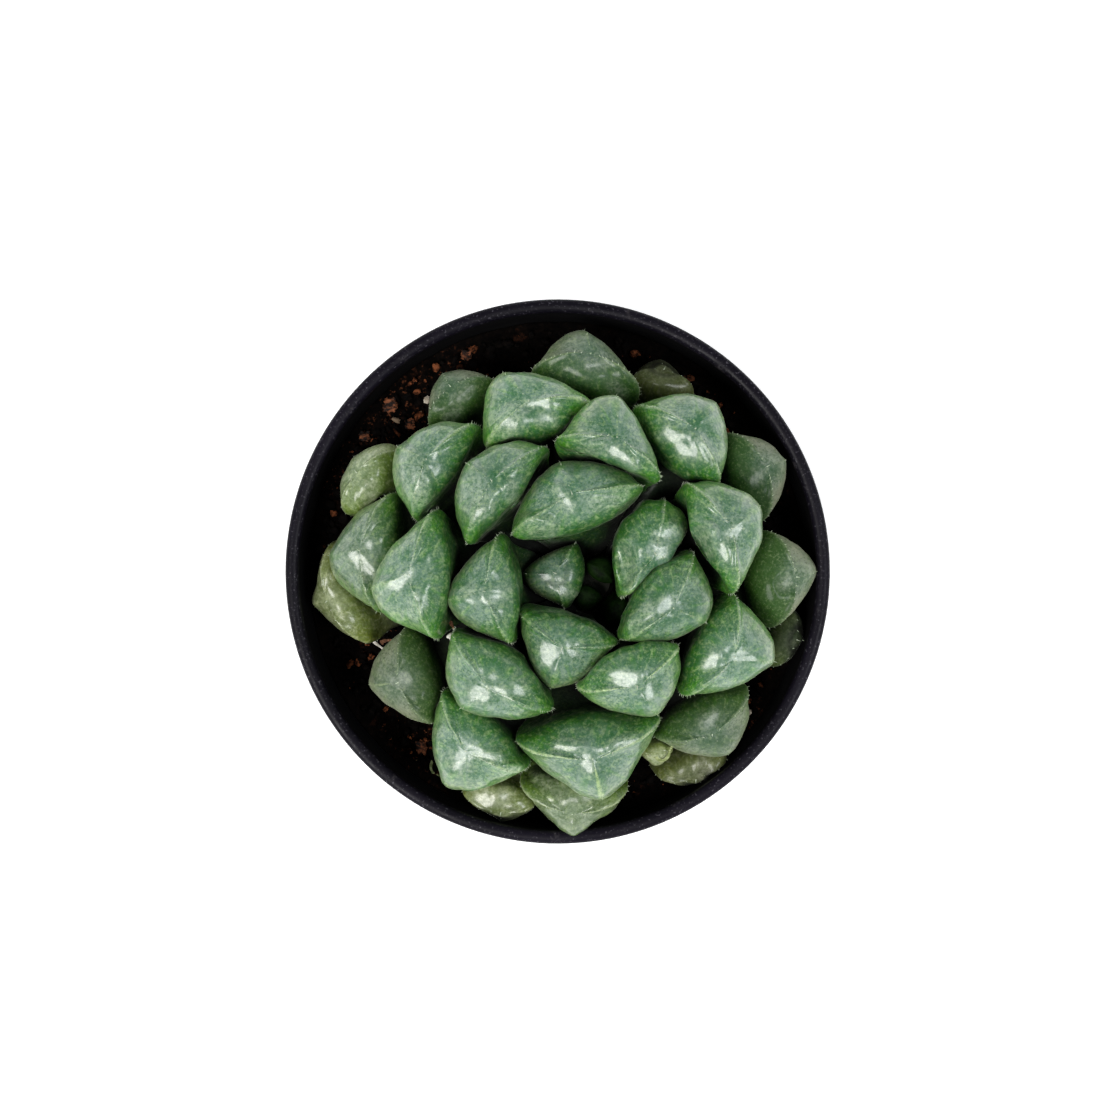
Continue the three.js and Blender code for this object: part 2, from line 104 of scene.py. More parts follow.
def spline_slopes(knots, values):
    """The slopes at the knots of the smooth curve with free ends through the values."""
    count = len(knots)
    gaps = np.diff(knots)
    matrix = np.zeros((count, count))
    rise = np.zeros_like(values)
    steep = np.diff(values, axis=0) / gaps.reshape(-1, *[1] * (values.ndim - 1))
    matrix[0, :2] = 2, 1
    rise[0] = 3 * steep[0]
    matrix[-1, -2:] = 1, 2
    rise[-1] = 3 * steep[-1]
    for k in range(1, count - 1):
        matrix[k, k - 1 : k + 2] = gaps[k], 2 * (gaps[k - 1] + gaps[k]), gaps[k - 1]
        rise[k] = 3 * (gaps[k] * steep[k - 1] + gaps[k - 1] * steep[k])
    return np.linalg.solve(matrix, rise.reshape(count, -1)).reshape(values.shape)


def spline(knots, values, wanted):
    """The smooth curve through the values at the knots, at the wanted places along it."""
    slopes = spline_slopes(knots, values)
    place = np.clip(np.searchsorted(knots, wanted, side="right") - 1, 0, len(knots) - 2)
    column = (-1, *[1] * (values.ndim - 1))
    gap = (knots[place + 1] - knots[place]).reshape(column)
    t = (wanted - knots[place]).reshape(column) / gap
    return (
        (2 * t**3 - 3 * t**2 + 1) * values[place]
        + (t**3 - 2 * t**2 + t) * gap * slopes[place]
        + (3 * t**2 - 2 * t**3) * values[place + 1]
        + (t**3 - t**2) * gap * slopes[place + 1]
    )


def smooth_path(points, count):
    """Points along the smooth curve through a few others."""
    points = np.asarray(points, float)
    knots = path_knots(points)
    return spline(knots, points, np.linspace(0, knots[-1], count))


def ring(radius, sides):
    """The x and y of places round the pot's axis."""
    turns = np.arange(sides) * 2 * math.pi / sides
    return [(radius * math.cos(turn), radius * math.sin(turn)) for turn in turns]


# ---- Grids: rows of points whose columns close into rings ----
def grid_faces(count, across):
    """Quads between neighbouring rows of a grid, with a fan at its first and last point."""
    faces = []
    last = 1 + (count - 2) * across
    for row in range(1, count - 2):
        low = 1 + (row - 1) * across
        for side in range(across):
            after = (side + 1) % across
            faces.append((low + side, low + after, low + across + after, low + across + side))
    for side in range(across):
        after = (side + 1) % across
        faces.append((0, 1 + after, 1 + side))
        faces.append((last - across + side, last - across + after, last))
    return faces


def grid_points(values):
    """One value for each point of the grid's mesh: its first point, the rows, and its last point."""
    return np.concatenate([values[0, :1], values[1:-1].reshape(-1, *values.shape[2:]), values[-1, :1]])


def grid_areas(grid):
    """Out of the surface at each point of a grid, as long as the area round the point."""
    across = np.roll(grid, -1, axis=1) - np.roll(grid, 1, axis=1)
    return np.cross(across, np.gradient(grid, axis=0))


def grid_normals(grid):
    """Which way is out of the surface at each point of a grid."""
    areas = grid_areas(grid)
    size = np.linalg.norm(areas, axis=2, keepdims=True)
    return areas / np.maximum(size, 1e-12)


# ---- Meshes and pieces ----
def mesh_from(name, points, faces, outward=True):
    """A smooth mesh of points and faces, with its faces turned outwards."""
    mesh = bpy.data.meshes.new(name)
    mesh.from_pydata(np.asarray(points).tolist(), [], [list(face) for face in faces])
    if outward:
        shape = bmesh.new()
        shape.from_mesh(mesh)
        bmesh.ops.recalc_face_normals(shape, faces=shape.faces)
        shape.to_mesh(mesh)
        shape.free()
    mesh.polygons.foreach_set("use_smooth", [True] * len(mesh.polygons))
    return mesh


def grid_mesh(name, rows):
    """The mesh of a grid that starts and ends in a point."""
    grid = np.asarray(rows)
    return mesh_from(name, grid_points(grid), grid_faces(*grid.shape[:2]))


def set_attribute(mesh, name, values):
    """Stores one number for each of the mesh's points."""
    attribute = mesh.attributes.new(name, "FLOAT", "POINT")
    attribute.data.foreach_set("value", np.asarray(values, np.float32))


def add_object(name, data):
    """A new object in the scene."""
    made = bpy.data.objects.new(name, data)
    bpy.context.scene.collection.objects.link(made)
    return made


def add_piece(mesh, slot, materials, *replaced):
    """Puts a mesh on the model's one body under its name, in place of the nodes it stands for."""
    for material in materials:
        mesh.materials.append(material)
    mesh.update()
    piece = add_object(mesh.name, mesh)
    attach(piece, ROOT)
    if replaced:
        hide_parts(*replaced)
    return piece


def tree_of(names):
    """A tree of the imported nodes' triangles, to measure distances and sight lines in."""
    points, faces = [], []
    for name in names:
        mesh = NODES[name].data
        first = len(points)
        points.extend(vertex.co.copy() for vertex in mesh.vertices)
        faces.extend([first + number for number in polygon.vertices] for polygon in mesh.polygons)
    return BVHTree.FromPolygons(points, faces)


SOIL_TREE = tree_of(["soil"])
LEAF_TREE = tree_of(LEAF_NAMES)
ALL_TREE = tree_of([*LEAF_NAMES, "soil", "stem", "nursery_pot"])


# ---- Material nodes ----
class Shader:
    """The nodes of a material or of the world, with a short call for each kind."""

    def __init__(self, owner, surface="Principled BSDF"):
        self.owner = owner
        owner.use_nodes = True
        self.tree = owner.node_tree
        self.surface = self.tree.nodes[surface]

    def feed(self, socket, value):
        if isinstance(value, bpy.types.NodeSocket):
            self.tree.links.new(value, socket)
        elif socket.type == "RGBA":
            socket.default_value = (*value, 1.0)
        else:
            socket.default_value = value

    def node(self, kind, inputs=None, **settings):
        made = self.tree.nodes.new("ShaderNode" + kind)
        for key, value in settings.items():
            setattr(made, key, value)
        for key, value in (inputs or {}).items():
            self.feed(made.inputs[key], value)
        return made

    def finish(self, **inputs):
        """Sets or links the surface's sockets, named with underscores for spaces."""
        for key, value in inputs.items():
            self.feed(self.surface.inputs[key.replace("_", " ")], value)
        return self.owner

    def place(self, kind="Object"):
        return self.node("TexCoord").outputs[kind]

    def height(self, place):
        return self.node("SeparateXYZ", {0: place}).outputs["Z"]

    def attribute(self, name):
        return self.node("Attribute", attribute_name=name).outputs["Fac"]

    def math(self, operation, first, second=0.0):
        return self.node("Math", {0: first, 1: second}, operation=operation).outputs[0]

    def times(self, first, *others):
        for other in others:
            first = self.math("MULTIPLY", first, other)
        return first

    def remap(self, value, low, high, to_low=0.0, to_high=1.0):
        inputs = {"Value": value, "From Min": low, "From Max": high, "To Min": to_low, "To Max": to_high}
        return self.node("MapRange", inputs, interpolation_type="SMOOTHSTEP").outputs[0]

    def noise(self, where, scale, detail=3.0, roughness=0.55):
        inputs = {"Vector": where, "Scale": scale, "Detail": detail, "Roughness": roughness}
        return self.node("TexNoise", inputs).outputs["Fac"]

    def stretched_noise(self, where, scales, detail, roughness):
        where = self.node("Mapping", {"Vector": where, "Scale": scales}).outputs[0]
        return self.noise(where, 1.0, detail, roughness)

    def mix(self, share, first, second, blend="MIX"):
        made = self.node("Mix", data_type="RGBA", blend_type=blend)
        self.feed(made.inputs[0], share)
        self.feed(made.inputs[6], first)
        self.feed(made.inputs[7], second)
        return made.outputs[2]

    def layers(self, colour, *layers):
        """Lays colours over one another, each as strong as the product of its own shares."""
        for over, *shares in layers:
            colour = self.mix(self.times(*shares), colour, over)
        return colour

    def bump(self, height, distance, strength=1.0, below=None):
        inputs = {"Height": height, "Distance": distance, "Strength": strength}
        if below is not None:
            inputs["Normal"] = below
        return self.node("Bump", inputs).outputs["Normal"]


def new_material(name):
    """The nodes of a new material."""
    return Shader(bpy.data.materials.new(name))


# ---- Leaves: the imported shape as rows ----
COLUMNS = 12  # points round each ring of a packed leaf
MARGINS = (0, 6)  # the columns of its two margins
KEEL = 3  # the column of its outer keel
INSIDE = 9  # the column in the middle of its inner face
RINGS = 9
WIDEST = 6  # the row of a leaf's widest ring, counting its root as row 0
FILL = 0.75  # how much of a dent in a ring is filled


def joined_mesh(mesh):
    """The mesh's separate points, and each face as its points' numbers."""
    flat = np.empty(len(mesh.vertices) * 3)
    mesh.vertices.foreach_get("co", flat)
    points, number = np.unique(flat.reshape(-1, 3).round(7), axis=0, return_inverse=True)
    number = number.reshape(-1)
    faces = [[number[v] for v in polygon.vertices] for polygon in mesh.polygons]
    return points, faces


def first_ring(pole, faces):
    """The points round a leaf's root, in the order in which its columns run."""
    following = {}
    for face in faces:
        if pole in face:
            start = face.index(pole)
            following[face[(start + 2) % 3]] = face[(start + 1) % 3]
    found = [next(iter(following))]
    while len(found) < len(following):
        found.append(following[found[-1]])
    return found


def leaf_rows(name):
    """A leaf's packed points as rows from its root to its tip, each with a point for every column."""
    points, faces = joined_mesh(NODES[name].data)
    near = [set() for _ in points]
    for face in faces:
        for corner in face:
            near[corner].update(face)
    poles = [number for number, others in enumerate(near) if len(others) == COLUMNS + 1]
    poles.sort(key=lambda number: points[number][2])
    root, tip = poles[0], poles[-1]
    rings = [first_ring(root, faces)]
    seen = {root, *rings[0]}
    while len(rings) < RINGS:
        above = [near[number] - seen for number in rings[-1]]
        rings.append([next(iter(above[side] & above[side - 1])) for side in range(COLUMNS)])
        seen.update(rings[-1])
    rows = [[points[root]] * COLUMNS, *[points[found] for found in rings], [points[tip]] * COLUMNS]
    return turned(np.array(rows))


def turned(rows):
    """The rows with their columns turned so that the margins and the keel are in their own."""
    widest = rows[WIDEST]
    half = COLUMNS // 2
    margin = int(np.argmax(np.linalg.norm(widest[:half] - widest[half:], axis=1)))
    reach = np.hypot(widest[:, 0] - CROWN.x, widest[:, 1] - CROWN.y)
    if reach[(margin + KEEL) % COLUMNS] < reach[(margin + INSIDE) % COLUMNS]:
        margin += half
    return np.roll(rows, -margin, axis=1)


def filled_out(rows):
    """Rows with the dents of a leaf's head pushed out towards the ring's own hull."""
    rows = rows.copy()
    for row in range(WIDEST - 1, len(rows) - 1):
        points = rows[row]
        middle = points.mean(axis=0)
        flat = np.linalg.svd(points - middle, full_matrices=False)[2][:2]
        plane = (points - middle) @ flat.T
        kept = sorted(int(number) for number in convex_hull_2d([tuple(point) for point in plane]))
        for start, end in zip(kept, [*kept[1:], kept[0] + COLUMNS]):
            for between in range(start + 1, end):
                part = (between - start) / (end - start)
                edge = points[start] * (1 - part) + points[end % COLUMNS] * part
                column = between % COLUMNS
                rows[row, column] = points[column] * (1 - FILL) + edge * FILL
    return rows


SKY = Group(rays=40, reach=70 * MM, lift=0.25 * MM)  # how a point's view of the sky is measured


def sky_rays(count):
    """Directions spread evenly over the upper half of the sky."""
    order = np.arange(count) + 0.5
    height = order / count
    turn = order * math.pi * (1 + math.sqrt(5))
    reach = np.sqrt(1 - height**2)
    return [Vector(ray) for ray in zip(reach * np.cos(turn), reach * np.sin(turn), height)]


def open_sky(rows):
    """How much of the sky each point sees past the leaves, the pot and the soil, from 0 to 1."""
    rays = sky_rays(SKY.rays)
    normals = grid_normals(rows)
    sky = np.ones(rows.shape[:2])
    sky[0] = 0.0
    for row in range(1, len(rows) - 1):
        for side in range(rows.shape[1]):
            eye = Vector(rows[row, side] + normals[row, side] * SKY.lift)
            sky[row, side] = sum(ALL_TREE.ray_cast(eye, ray, SKY.reach)[0] is None for ray in rays)
    sky[1:-1] /= len(rays)
    return sky


# ---- Leaves: the smooth surface ----
ROUND = 108  # columns of a finished leaf
HEAD_STEP = 0.38 * MM  # between its rows over the head
BODY_STEP = 1.2 * MM


def around(rows):
    """The rows with more columns, on smooth closed curves through their points."""
    own = np.eye(COLUMNS)
    weights = (4 * own + np.roll(own, 1, axis=1) + np.roll(own, -1, axis=1)) / 6
    control = np.einsum("ij,rjk->rik", np.linalg.inv(weights), rows)
    place = np.arange(ROUND) * COLUMNS / ROUND
    whole = np.floor(place).astype(int)
    t = (place - whole)[None, :, None]
    parts = [(1 - t) ** 3, 3 * t**3 - 6 * t**2 + 4, -3 * t**3 + 3 * t**2 + 3 * t + 1, t**3]
    return sum(part * control[:, (whole + shift - 1) % COLUMNS] for shift, part in enumerate(parts)) / 6


def along(rows):
    """The rows made many, on smooth curves from the root over the tip, and the widest one's number.

    Past the tip a column runs on down the opposite one, so that the head is smooth there.
    """
    over = [np.roll(rows[row], ROUND // 2, axis=0) for row in (-2, -3)]
    values = np.concatenate([rows, over])
    knots = path_knots(values[:, :, :3])
    tip, neck = knots[len(rows) - 1], knots[WIDEST - 2]
    body = np.linspace(0, neck, max(int(neck / BODY_STEP), 6), endpoint=False)
    head = np.linspace(neck, tip, int((tip - neck) / HEAD_STEP))
    wanted = np.concatenate([body, head])
    return spline(knots, values, wanted), int(np.argmin(np.abs(wanted - knots[WIDEST])))


def wrapped(column, middle):
    """How many packed columns lie between a column and another, the short way round."""
    return np.abs((column - middle + COLUMNS / 2) % COLUMNS - COLUMNS / 2)


def near_columns(column, middles, width):
    """How near a column is to the nearest of a few others, from 0 to 1."""
    return sum(bell(wrapped(column, middle), width) for middle in middles)


def leaf_measures(grid, widest):
    """For each point: the distance to the tip along the leaf, that distance as a share of the way to
    the widest row, and the point's column out of twelve."""
    steps = np.linalg.norm(np.diff(grid, axis=0), axis=2)
    below = np.concatenate([np.zeros((1, ROUND)), np.cumsum(steps, axis=0)])
    column = np.broadcast_to(np.arange(ROUND) * COLUMNS / ROUND, below.shape)
    to_tip = below[-1] - below
    return to_tip, to_tip / to_tip[widest], column


def surface_noise(grid, size, seed):
    """Smooth noise of about the size, between -1 and 1, at each point of a grid."""
    shift = Vector((seed * 3.1, seed * 1.7, seed * 0.9))
    values = [noise.noise(Vector(point) / size + shift) for point in grid.reshape(-1, 3)]
    return np.array(values).reshape(grid.shape[:2])


HEAD = Group(rows=30, size=15 * MM, most=1.1)  # a full-grown leaf's; a smaller head has less relief
PUFF = Group(inner=0.75 * MM, outer=0.40 * MM, turns=(2.0, 3.6))  # turns: in columns from the keel
# Heights of the ridges, their width in columns, and between which distances from the tip they rise
# and fade to their rest.
RIDGE = Group(
    margin=0.50 * MM,
    keel=0.36 * MM,
    width=0.32,
    rises=(0.6 * MM, 3.5 * MM),
    fades=(9 * MM, 16 * MM),
    rest=0.35,
)
HOLLOW = Group(depth=0.22 * MM, middles=(1.5, 4.5), width=0.9)  # in the faces between the ridges
LUMPS = ((0.34 * MM, 4.6 * MM), (0.16 * MM, 2.1 * MM), (0.035 * MM, 0.9 * MM))  # height and size
SHRIVELLED = {31: 2.6, 35: 1.6, 36: 1.9}  # leaves that are rougher than the rest, and how much
KEELED = {8: 0.4 * MM, 20: 1.3 * MM, 30: 0.5 * MM}  # leaves with a sharper keel, and its height


def shaped_leaf(grid, widest, number, seed):
    """Plumps a leaf's head up and adds its ridges, hollows and soft lumps."""
    normals = grid_normals(grid)
    to_tip, share, column = leaf_measures(grid, widest)
    head = np.ptp(grid[-HEAD.rows :].reshape(-1, 3), axis=0).max()
    inner = smoothstep(*PUFF.turns, wrapped(column, KEEL))
    puff = PUFF.outer + (PUFF.inner - PUFF.outer) * inner
    margin = near_columns(column, MARGINS, RIDGE.width)
    keel = near_columns(column, [KEEL], RIDGE.width)
    rises = smoothstep(*RIDGE.rises, to_tip)
    fades = 1 - smoothstep(*RIDGE.fades, to_tip)
    ridges = RIDGE.margin * margin + RIDGE.keel * keel
    rise = rises * (RIDGE.rest + (1 - RIDGE.rest) * fades) * ridges
    rise -= HOLLOW.depth * near_columns(column, HOLLOW.middles, HOLLOW.width) * rises * fades
    rise += KEELED.get(number, 0) * near_columns(column, [KEEL], 0.8) * bell(share - 0.85, 0.45)
    rise += puff * np.sin(math.pi * np.clip(share, 0, 1)) ** 1.5
    rough = SHRIVELLED.get(number, 1.0) * smoothstep(0.3 * MM, 2 * MM, to_tip)
    for height, spread in LUMPS:
        rise += height * surface_noise(grid, spread, seed) * rough
    rise *= smoothstep(0, 6, np.arange(len(grid)))[:, None] * min(head / HEAD.size, HEAD.most)
    shaped = grid + normals * rise[:, :, None]
    # Where the shiny places lie, kept for a painted highlight in the skin's colour.
    cloud = np.zeros(share.shape)
    for start_x, start_y, end_x, end_y, reach in GLINTS.get(number, ()):
        window = catch_light(shaped, rim_place(start_x, start_y), rim_place(end_x, end_y), reach * PIXEL)
        cloud = np.maximum(cloud, window)
    return shaped, Group(to_tip=to_tip, share=share, column=column, cloud=cloud)


# ---- Leaves: where they catch the light ----
# For each leaf its shiny places: both ends and the reach to each side, in the photograph's pixels.
GLINTS = {
    4: ((553, 585, 572, 595, 5),),
    5: ((543, 650, 545, 660, 6), (570, 648, 574, 656, 5)),
    6: ((633, 624, 650, 609, 6), (662, 606, 668, 600, 6)),
    7: ((558, 490, 571, 508, 5), (592, 505, 622, 497, 6), (531, 527, 549, 530, 8)),
    8: ((625, 547, 629, 580, 6), (656, 549, 665, 547, 6), (662, 534, 672, 530, 6)),
    9: ((488, 596, 502, 596, 7), (462, 593, 472, 591, 5)),
    10: ((584, 451, 603, 447, 6), (612, 447, 634, 466, 5)),
    11: ((704, 534, 705, 550, 8), (731, 536, 739, 526, 6), (722, 545, 726, 558, 4)),
    12: ((620, 681, 632, 680, 8), (649, 684, 652, 696, 4)),
    13: ((474, 484, 476, 494, 10), (474, 514, 486, 510, 6), (511, 486, 512, 500, 5)),
    14: ((473, 692, 485, 698, 8), (501, 691, 508, 698, 5), (516, 686, 521, 691, 5)),
    15: ((387, 589, 405, 578, 6), (415, 600, 412, 612, 5)),
    16: ((738, 657, 752, 658, 5), (708, 664, 716, 656, 5)),
    17: ((516, 414, 506, 434, 8), (528, 405, 546, 402, 4), (541, 419, 553, 422, 5)),
    18: ((661, 437, 688, 436, 4), (698, 441, 708, 458, 5), (682, 448, 684, 452, 5)),
    19: ((412, 462, 420, 500, 9),),
    20: ((612, 747, 634, 739, 5), (558, 747, 580, 749, 5), (584, 757, 590, 770, 5)),
    21: ((450, 762, 464, 768, 8), (476, 756, 497, 757, 5), (507, 771, 518, 770, 5)),
    22: ((354, 556, 366, 570, 8),),
    23: ((394, 680, 402, 682, 6),),
    24: ((706, 722, 714, 716, 6),),
    25: ((786, 584, 804, 570, 6),),
    26: ((764, 461, 774, 459, 4), (757, 480, 762, 470, 5)),
    27: ((588, 365, 604, 365, 4), (614, 386, 622, 392, 5)),
    28: ((450, 418, 456, 410, 5), (456, 400, 470, 388, 4)),
    29: ((370, 487, 371, 505, 6),),
    30: ((539, 777, 558, 790, 6), (586, 795, 595, 793, 6)),
    33: ((482, 794, 483, 794, 9), (502, 794, 505, 794, 7)),
    36: ((702, 762, 703, 778, 5),),
}
# How much of a place's reach is whole, where its edge ends, the most its slope changes, how much of
# the skin's own bend stays along it and across it, and how far the skin follows.
# Fine streaks of a width and a relief run along it.
GLINT = Group(
    whole=0.5,
    edge=2.2,
    turn=0.40,
    bend=(0.45, 0.2),
    share=0.85,
    streak=0.9 * MM,
    relief=0.016 * MM,
)


def rim_place(x, y):
    """A pixel of the photograph as a place in the plane of the rim."""
    middle_x, middle_y = PHOTO.rim_middle
    return np.array(((x - middle_x) * PIXEL, (middle_y - y) * PIXEL))


def over_rim(points):
    """Where the camera sees each point, in the plane of the rim."""
    eye = np.array(EYE)
    scale = CAMERA.above_rim / (eye[2] - points[..., 2])
    return eye[:2] + (points[..., :2] - eye[:2]) * scale[..., None]


def catch_light(grid, start, end, reach):
    """Flattens the skin along a line seen by the camera, and turns it to mirror a lamp's light.

    It gives back how much each point took part, from 0 to 1.
    """
    areas = grid_areas(grid)
    size = np.linalg.norm(areas, axis=2)
    upward = areas[:, :, 2] / np.maximum(size, 1e-15)
    upward[-1] = upward[-2].mean()
    seen = over_rim(grid)
    length = max(np.linalg.norm(end - start), 1e-9)
    way = (end - start) / length
    along_line = (seen - start) @ way
    beside = (seen - start) @ np.array((-way[1], way[0]))
    away = np.hypot(along_line - np.clip(along_line, 0, length), beside)
    window = 1 - smoothstep(GLINT.whole * reach, GLINT.edge * reach, away)
    window *= smoothstep(0.05, 0.35, upward)
    weight = np.sqrt(window * size).reshape(-1)
    t, d = ((along_line - length / 2) / MM).reshape(-1), (beside / MM).reshape(-1)
    basis = np.stack([np.ones_like(t), t, d, t**2, d**2], axis=1)
    height = (grid[:, :, 2] / MM).reshape(-1)
    fit = np.linalg.lstsq(basis * weight[:, None], height * weight, rcond=None)[0]
    middle = Vector((*((start + end) / 2), fit[0] * MM))
    to_eye = (EYE - middle).normalized()
    slopes = [mirror_slope(to_eye + lamp, way) for lamp in LAMP_WAYS.values()]
    turn = min((slope - fit[1:3] for slope in slopes), key=np.linalg.norm)
    fit[1:3] += turn * min(1.0, GLINT.turn / max(np.linalg.norm(turn), 1e-9))
    fit[3:] *= GLINT.bend
    level = (basis @ fit).reshape(grid.shape[:2]) * MM
    waver = surface_noise(grid, GLINT.streak * 1.5, reach / MM)
    level += GLINT.relief * np.sin(2 * math.pi * beside / GLINT.streak + 3 * waver)
    grid[:, :, 2] += GLINT.share * window * (level - grid[:, :, 2])
    return window


def mirror_slope(facing, way):
    """How a surface that faces a direction climbs along a way and to its left."""
    flat = -np.array((facing.x, facing.y)) / facing.z
    return np.array((flat @ way, flat @ np.array((-way[1], way[0]))))


# ---- Leaves: teeth and tips ----
TOOTH = Group(gap=0.55 * MM, length=0.46 * MM, radius=0.09 * MM, sides=4, first=1.2 * MM)
MUCRO = Group(length=0.65 * MM, radius=0.13 * MM)
# Where teeth stand: the finished column, how wide apart they are, and how far from the tip they end.
TOOTHED = ((0, 1, 14 * MM), (ROUND // 4, 2.2, 9 * MM), (ROUND // 2, 1, 14 * MM))


def add_spike(shape, foot, towards, length, radius):
    """A small cone, in the mesh's second material, with its foot sunk into what it stands on."""
    sides = TOOTH.sides
    arm = towards.orthogonal().normalized() * radius
    turns = [Matrix.Rotation(2 * math.pi * corner / sides, 3, towards) for corner in range(sides)]
    foot_ring = [shape.verts.new(foot - towards * radius + turn @ arm) for turn in turns]
    point = shape.verts.new(foot + towards * length)
    for corner in range(sides):
        face = shape.faces.new((foot_ring[corner], foot_ring[(corner + 1) % sides], point))
        face.material_index = 1
    shape.faces.new(reversed(foot_ring)).material_index = 1


def add_teeth(mesh, grid, to_tip, dry, rng):
    """Rows of fine pale teeth along a leaf's margins and keel, worn on a dry leaf, and its point."""
    shape = bmesh.new()
    shape.from_mesh(mesh)
    normals = grid_normals(grid)
    for side, spacing, end in TOOTHED:
        next_at = TOOTH.first
        for row in range(len(grid) - 2, 1, -1):
            reach = to_tip[row, side]
            if reach < next_at or reach > end:
                continue
            next_at = reach + spacing * TOOTH.gap * rng.uniform(0.6, 1.6) * (1 + 2 * dry)
            out = Vector(normals[row, side])
            up = Vector(grid[row + 1, side] - grid[row, side]).normalized()
            towards = (out + 0.5 * up + 0.15 * Vector(rng.normal(size=3))).normalized()
            length = TOOTH.length * rng.uniform(0.4, 1.3) * (1 - 0.6 * dry)
            add_spike(shape, Vector(grid[row, side]), towards, length, TOOTH.radius)
    tip = Vector(grid[-1, 0])
    towards = (tip - Vector(grid[-6].mean(axis=0))).normalized()
    add_spike(shape, tip, towards, MUCRO.length, MUCRO.radius)
    shape.to_mesh(mesh)
    shape.free()


# ---- Leaves: skin ----
# The colours of a leaf's windowed head, of patches in it, of its outer rim (partly painted rim light),
# its inner face and its flanks (both partly painted shade), its margins, its veins and the painted
# highlight on its shiny places, each on a young leaf and on an old one.
TINTS = {
    "window": ((0.128, 0.210, 0.156), (0.250, 0.280, 0.135)),
    "patch": ((0.038, 0.122, 0.056), (0.125, 0.145, 0.052)),
    "rim": ((0.205, 0.275, 0.118), (0.320, 0.340, 0.170)),
    "inner": ((0.018, 0.100, 0.004), (0.140, 0.175, 0.030)),
    "flank": ((0.008, 0.074, 0.0), (0.100, 0.115, 0.014)),
    "margin": ((0.044, 0.200, 0.001), (0.180, 0.200, 0.024)),
    "vein": ((0.300, 0.420, 0.180), (0.400, 0.410, 0.240)),
    "cloud": ((0.400, 0.470, 0.370), (0.560, 0.560, 0.430)),
}
DUST = (0.350, 0.365, 0.245)
# How bright a leaf is: its own tone, and painted shade on the lower leaves and those under
# others; how far it has dried from young (0) to old (1), and how far its outer side has gone grey.
LOOKS = {
    4: (0.75, 0.0, 0.0),
    22: (0.85, 0.15, 0.0),
    23: (0.62, 0.20, 0.7),
    24: (0.66, 0.15, 0.5),
    25: (0.66, 0.15, 1.0),
    26: (0.62, 0.10, 1.0),
    27: (0.60, 0.10, 0.5),
    28: (0.62, 0.15, 0.7),
    29: (1.15, 0.55, 0.3),
    30: (0.85, 0.45, 0.0),
    31: (1.15, 0.80, 0.0),
    32: (1.05, 0.80, 0.0),
    33: (0.95, 0.75, 0.0),
    34: (0.30, 0.50, 0.0),
    35: (0.55, 0.85, 0.0),
    36: (0.56, 0.85, 0.0),
}
FRESH = (1.0, 0.0, 0.0)
# Leaves with clear pale lines down their margins or their keel, and how clear the lines are.
MARGIN_LINES = {12: 0.9, 17: 0.6, 20: 1.0, 27: 0.8, 30: 0.7}
KEEL_LINES = {15: 0.5, 19: 0.5, 20: 1.0, 23: 0.7, 27: 0.6}
RINGED = (5, 6)  # leaves with fine rings round the tip


def skin_fields(shader):
    """What the skin's colour, relief and gloss go by, over one leaf and from leaf to leaf."""
    over_leaf = ("to_tip", "share", "outside", "sky", "cloud")
    of_leaf = ("tone", "shade", "dry", "dusty", "line", "keel_line", "ringed")
    at = Group(**{name: shader.attribute(name) for name in over_leaf + of_leaf})
    at.map = shader.node("UVMap", uv_map="leaf_map").outputs["UV"]
    at.place = shader.node("VectorMath", {0: shader.place(), 1: at.tone}, operation="ADD").outputs[0]
    at.inside = shader.math("SUBTRACT", 1.0, at.outside)
    # The distance from the nearer margin, in packed columns.
    halves = shader.math("MULTIPLY", shader.node("SeparateXYZ", {0: at.map}).outputs["X"], 2.0)
    off = shader.math("ABSOLUTE", shader.math("SUBTRACT", halves, shader.math("ROUND", halves)))
    at.off = shader.math("MULTIPLY", off, COLUMNS / 2)
    at.patches = shader.noise(at.place, 300, 4, 0.6)
    at.mottle = shader.noise(at.place, 1300, 4, 0.65)
    at.stripes = shader.stretched_noise(at.map, (56, 6.0, 1), 2, 0.5)
    return at


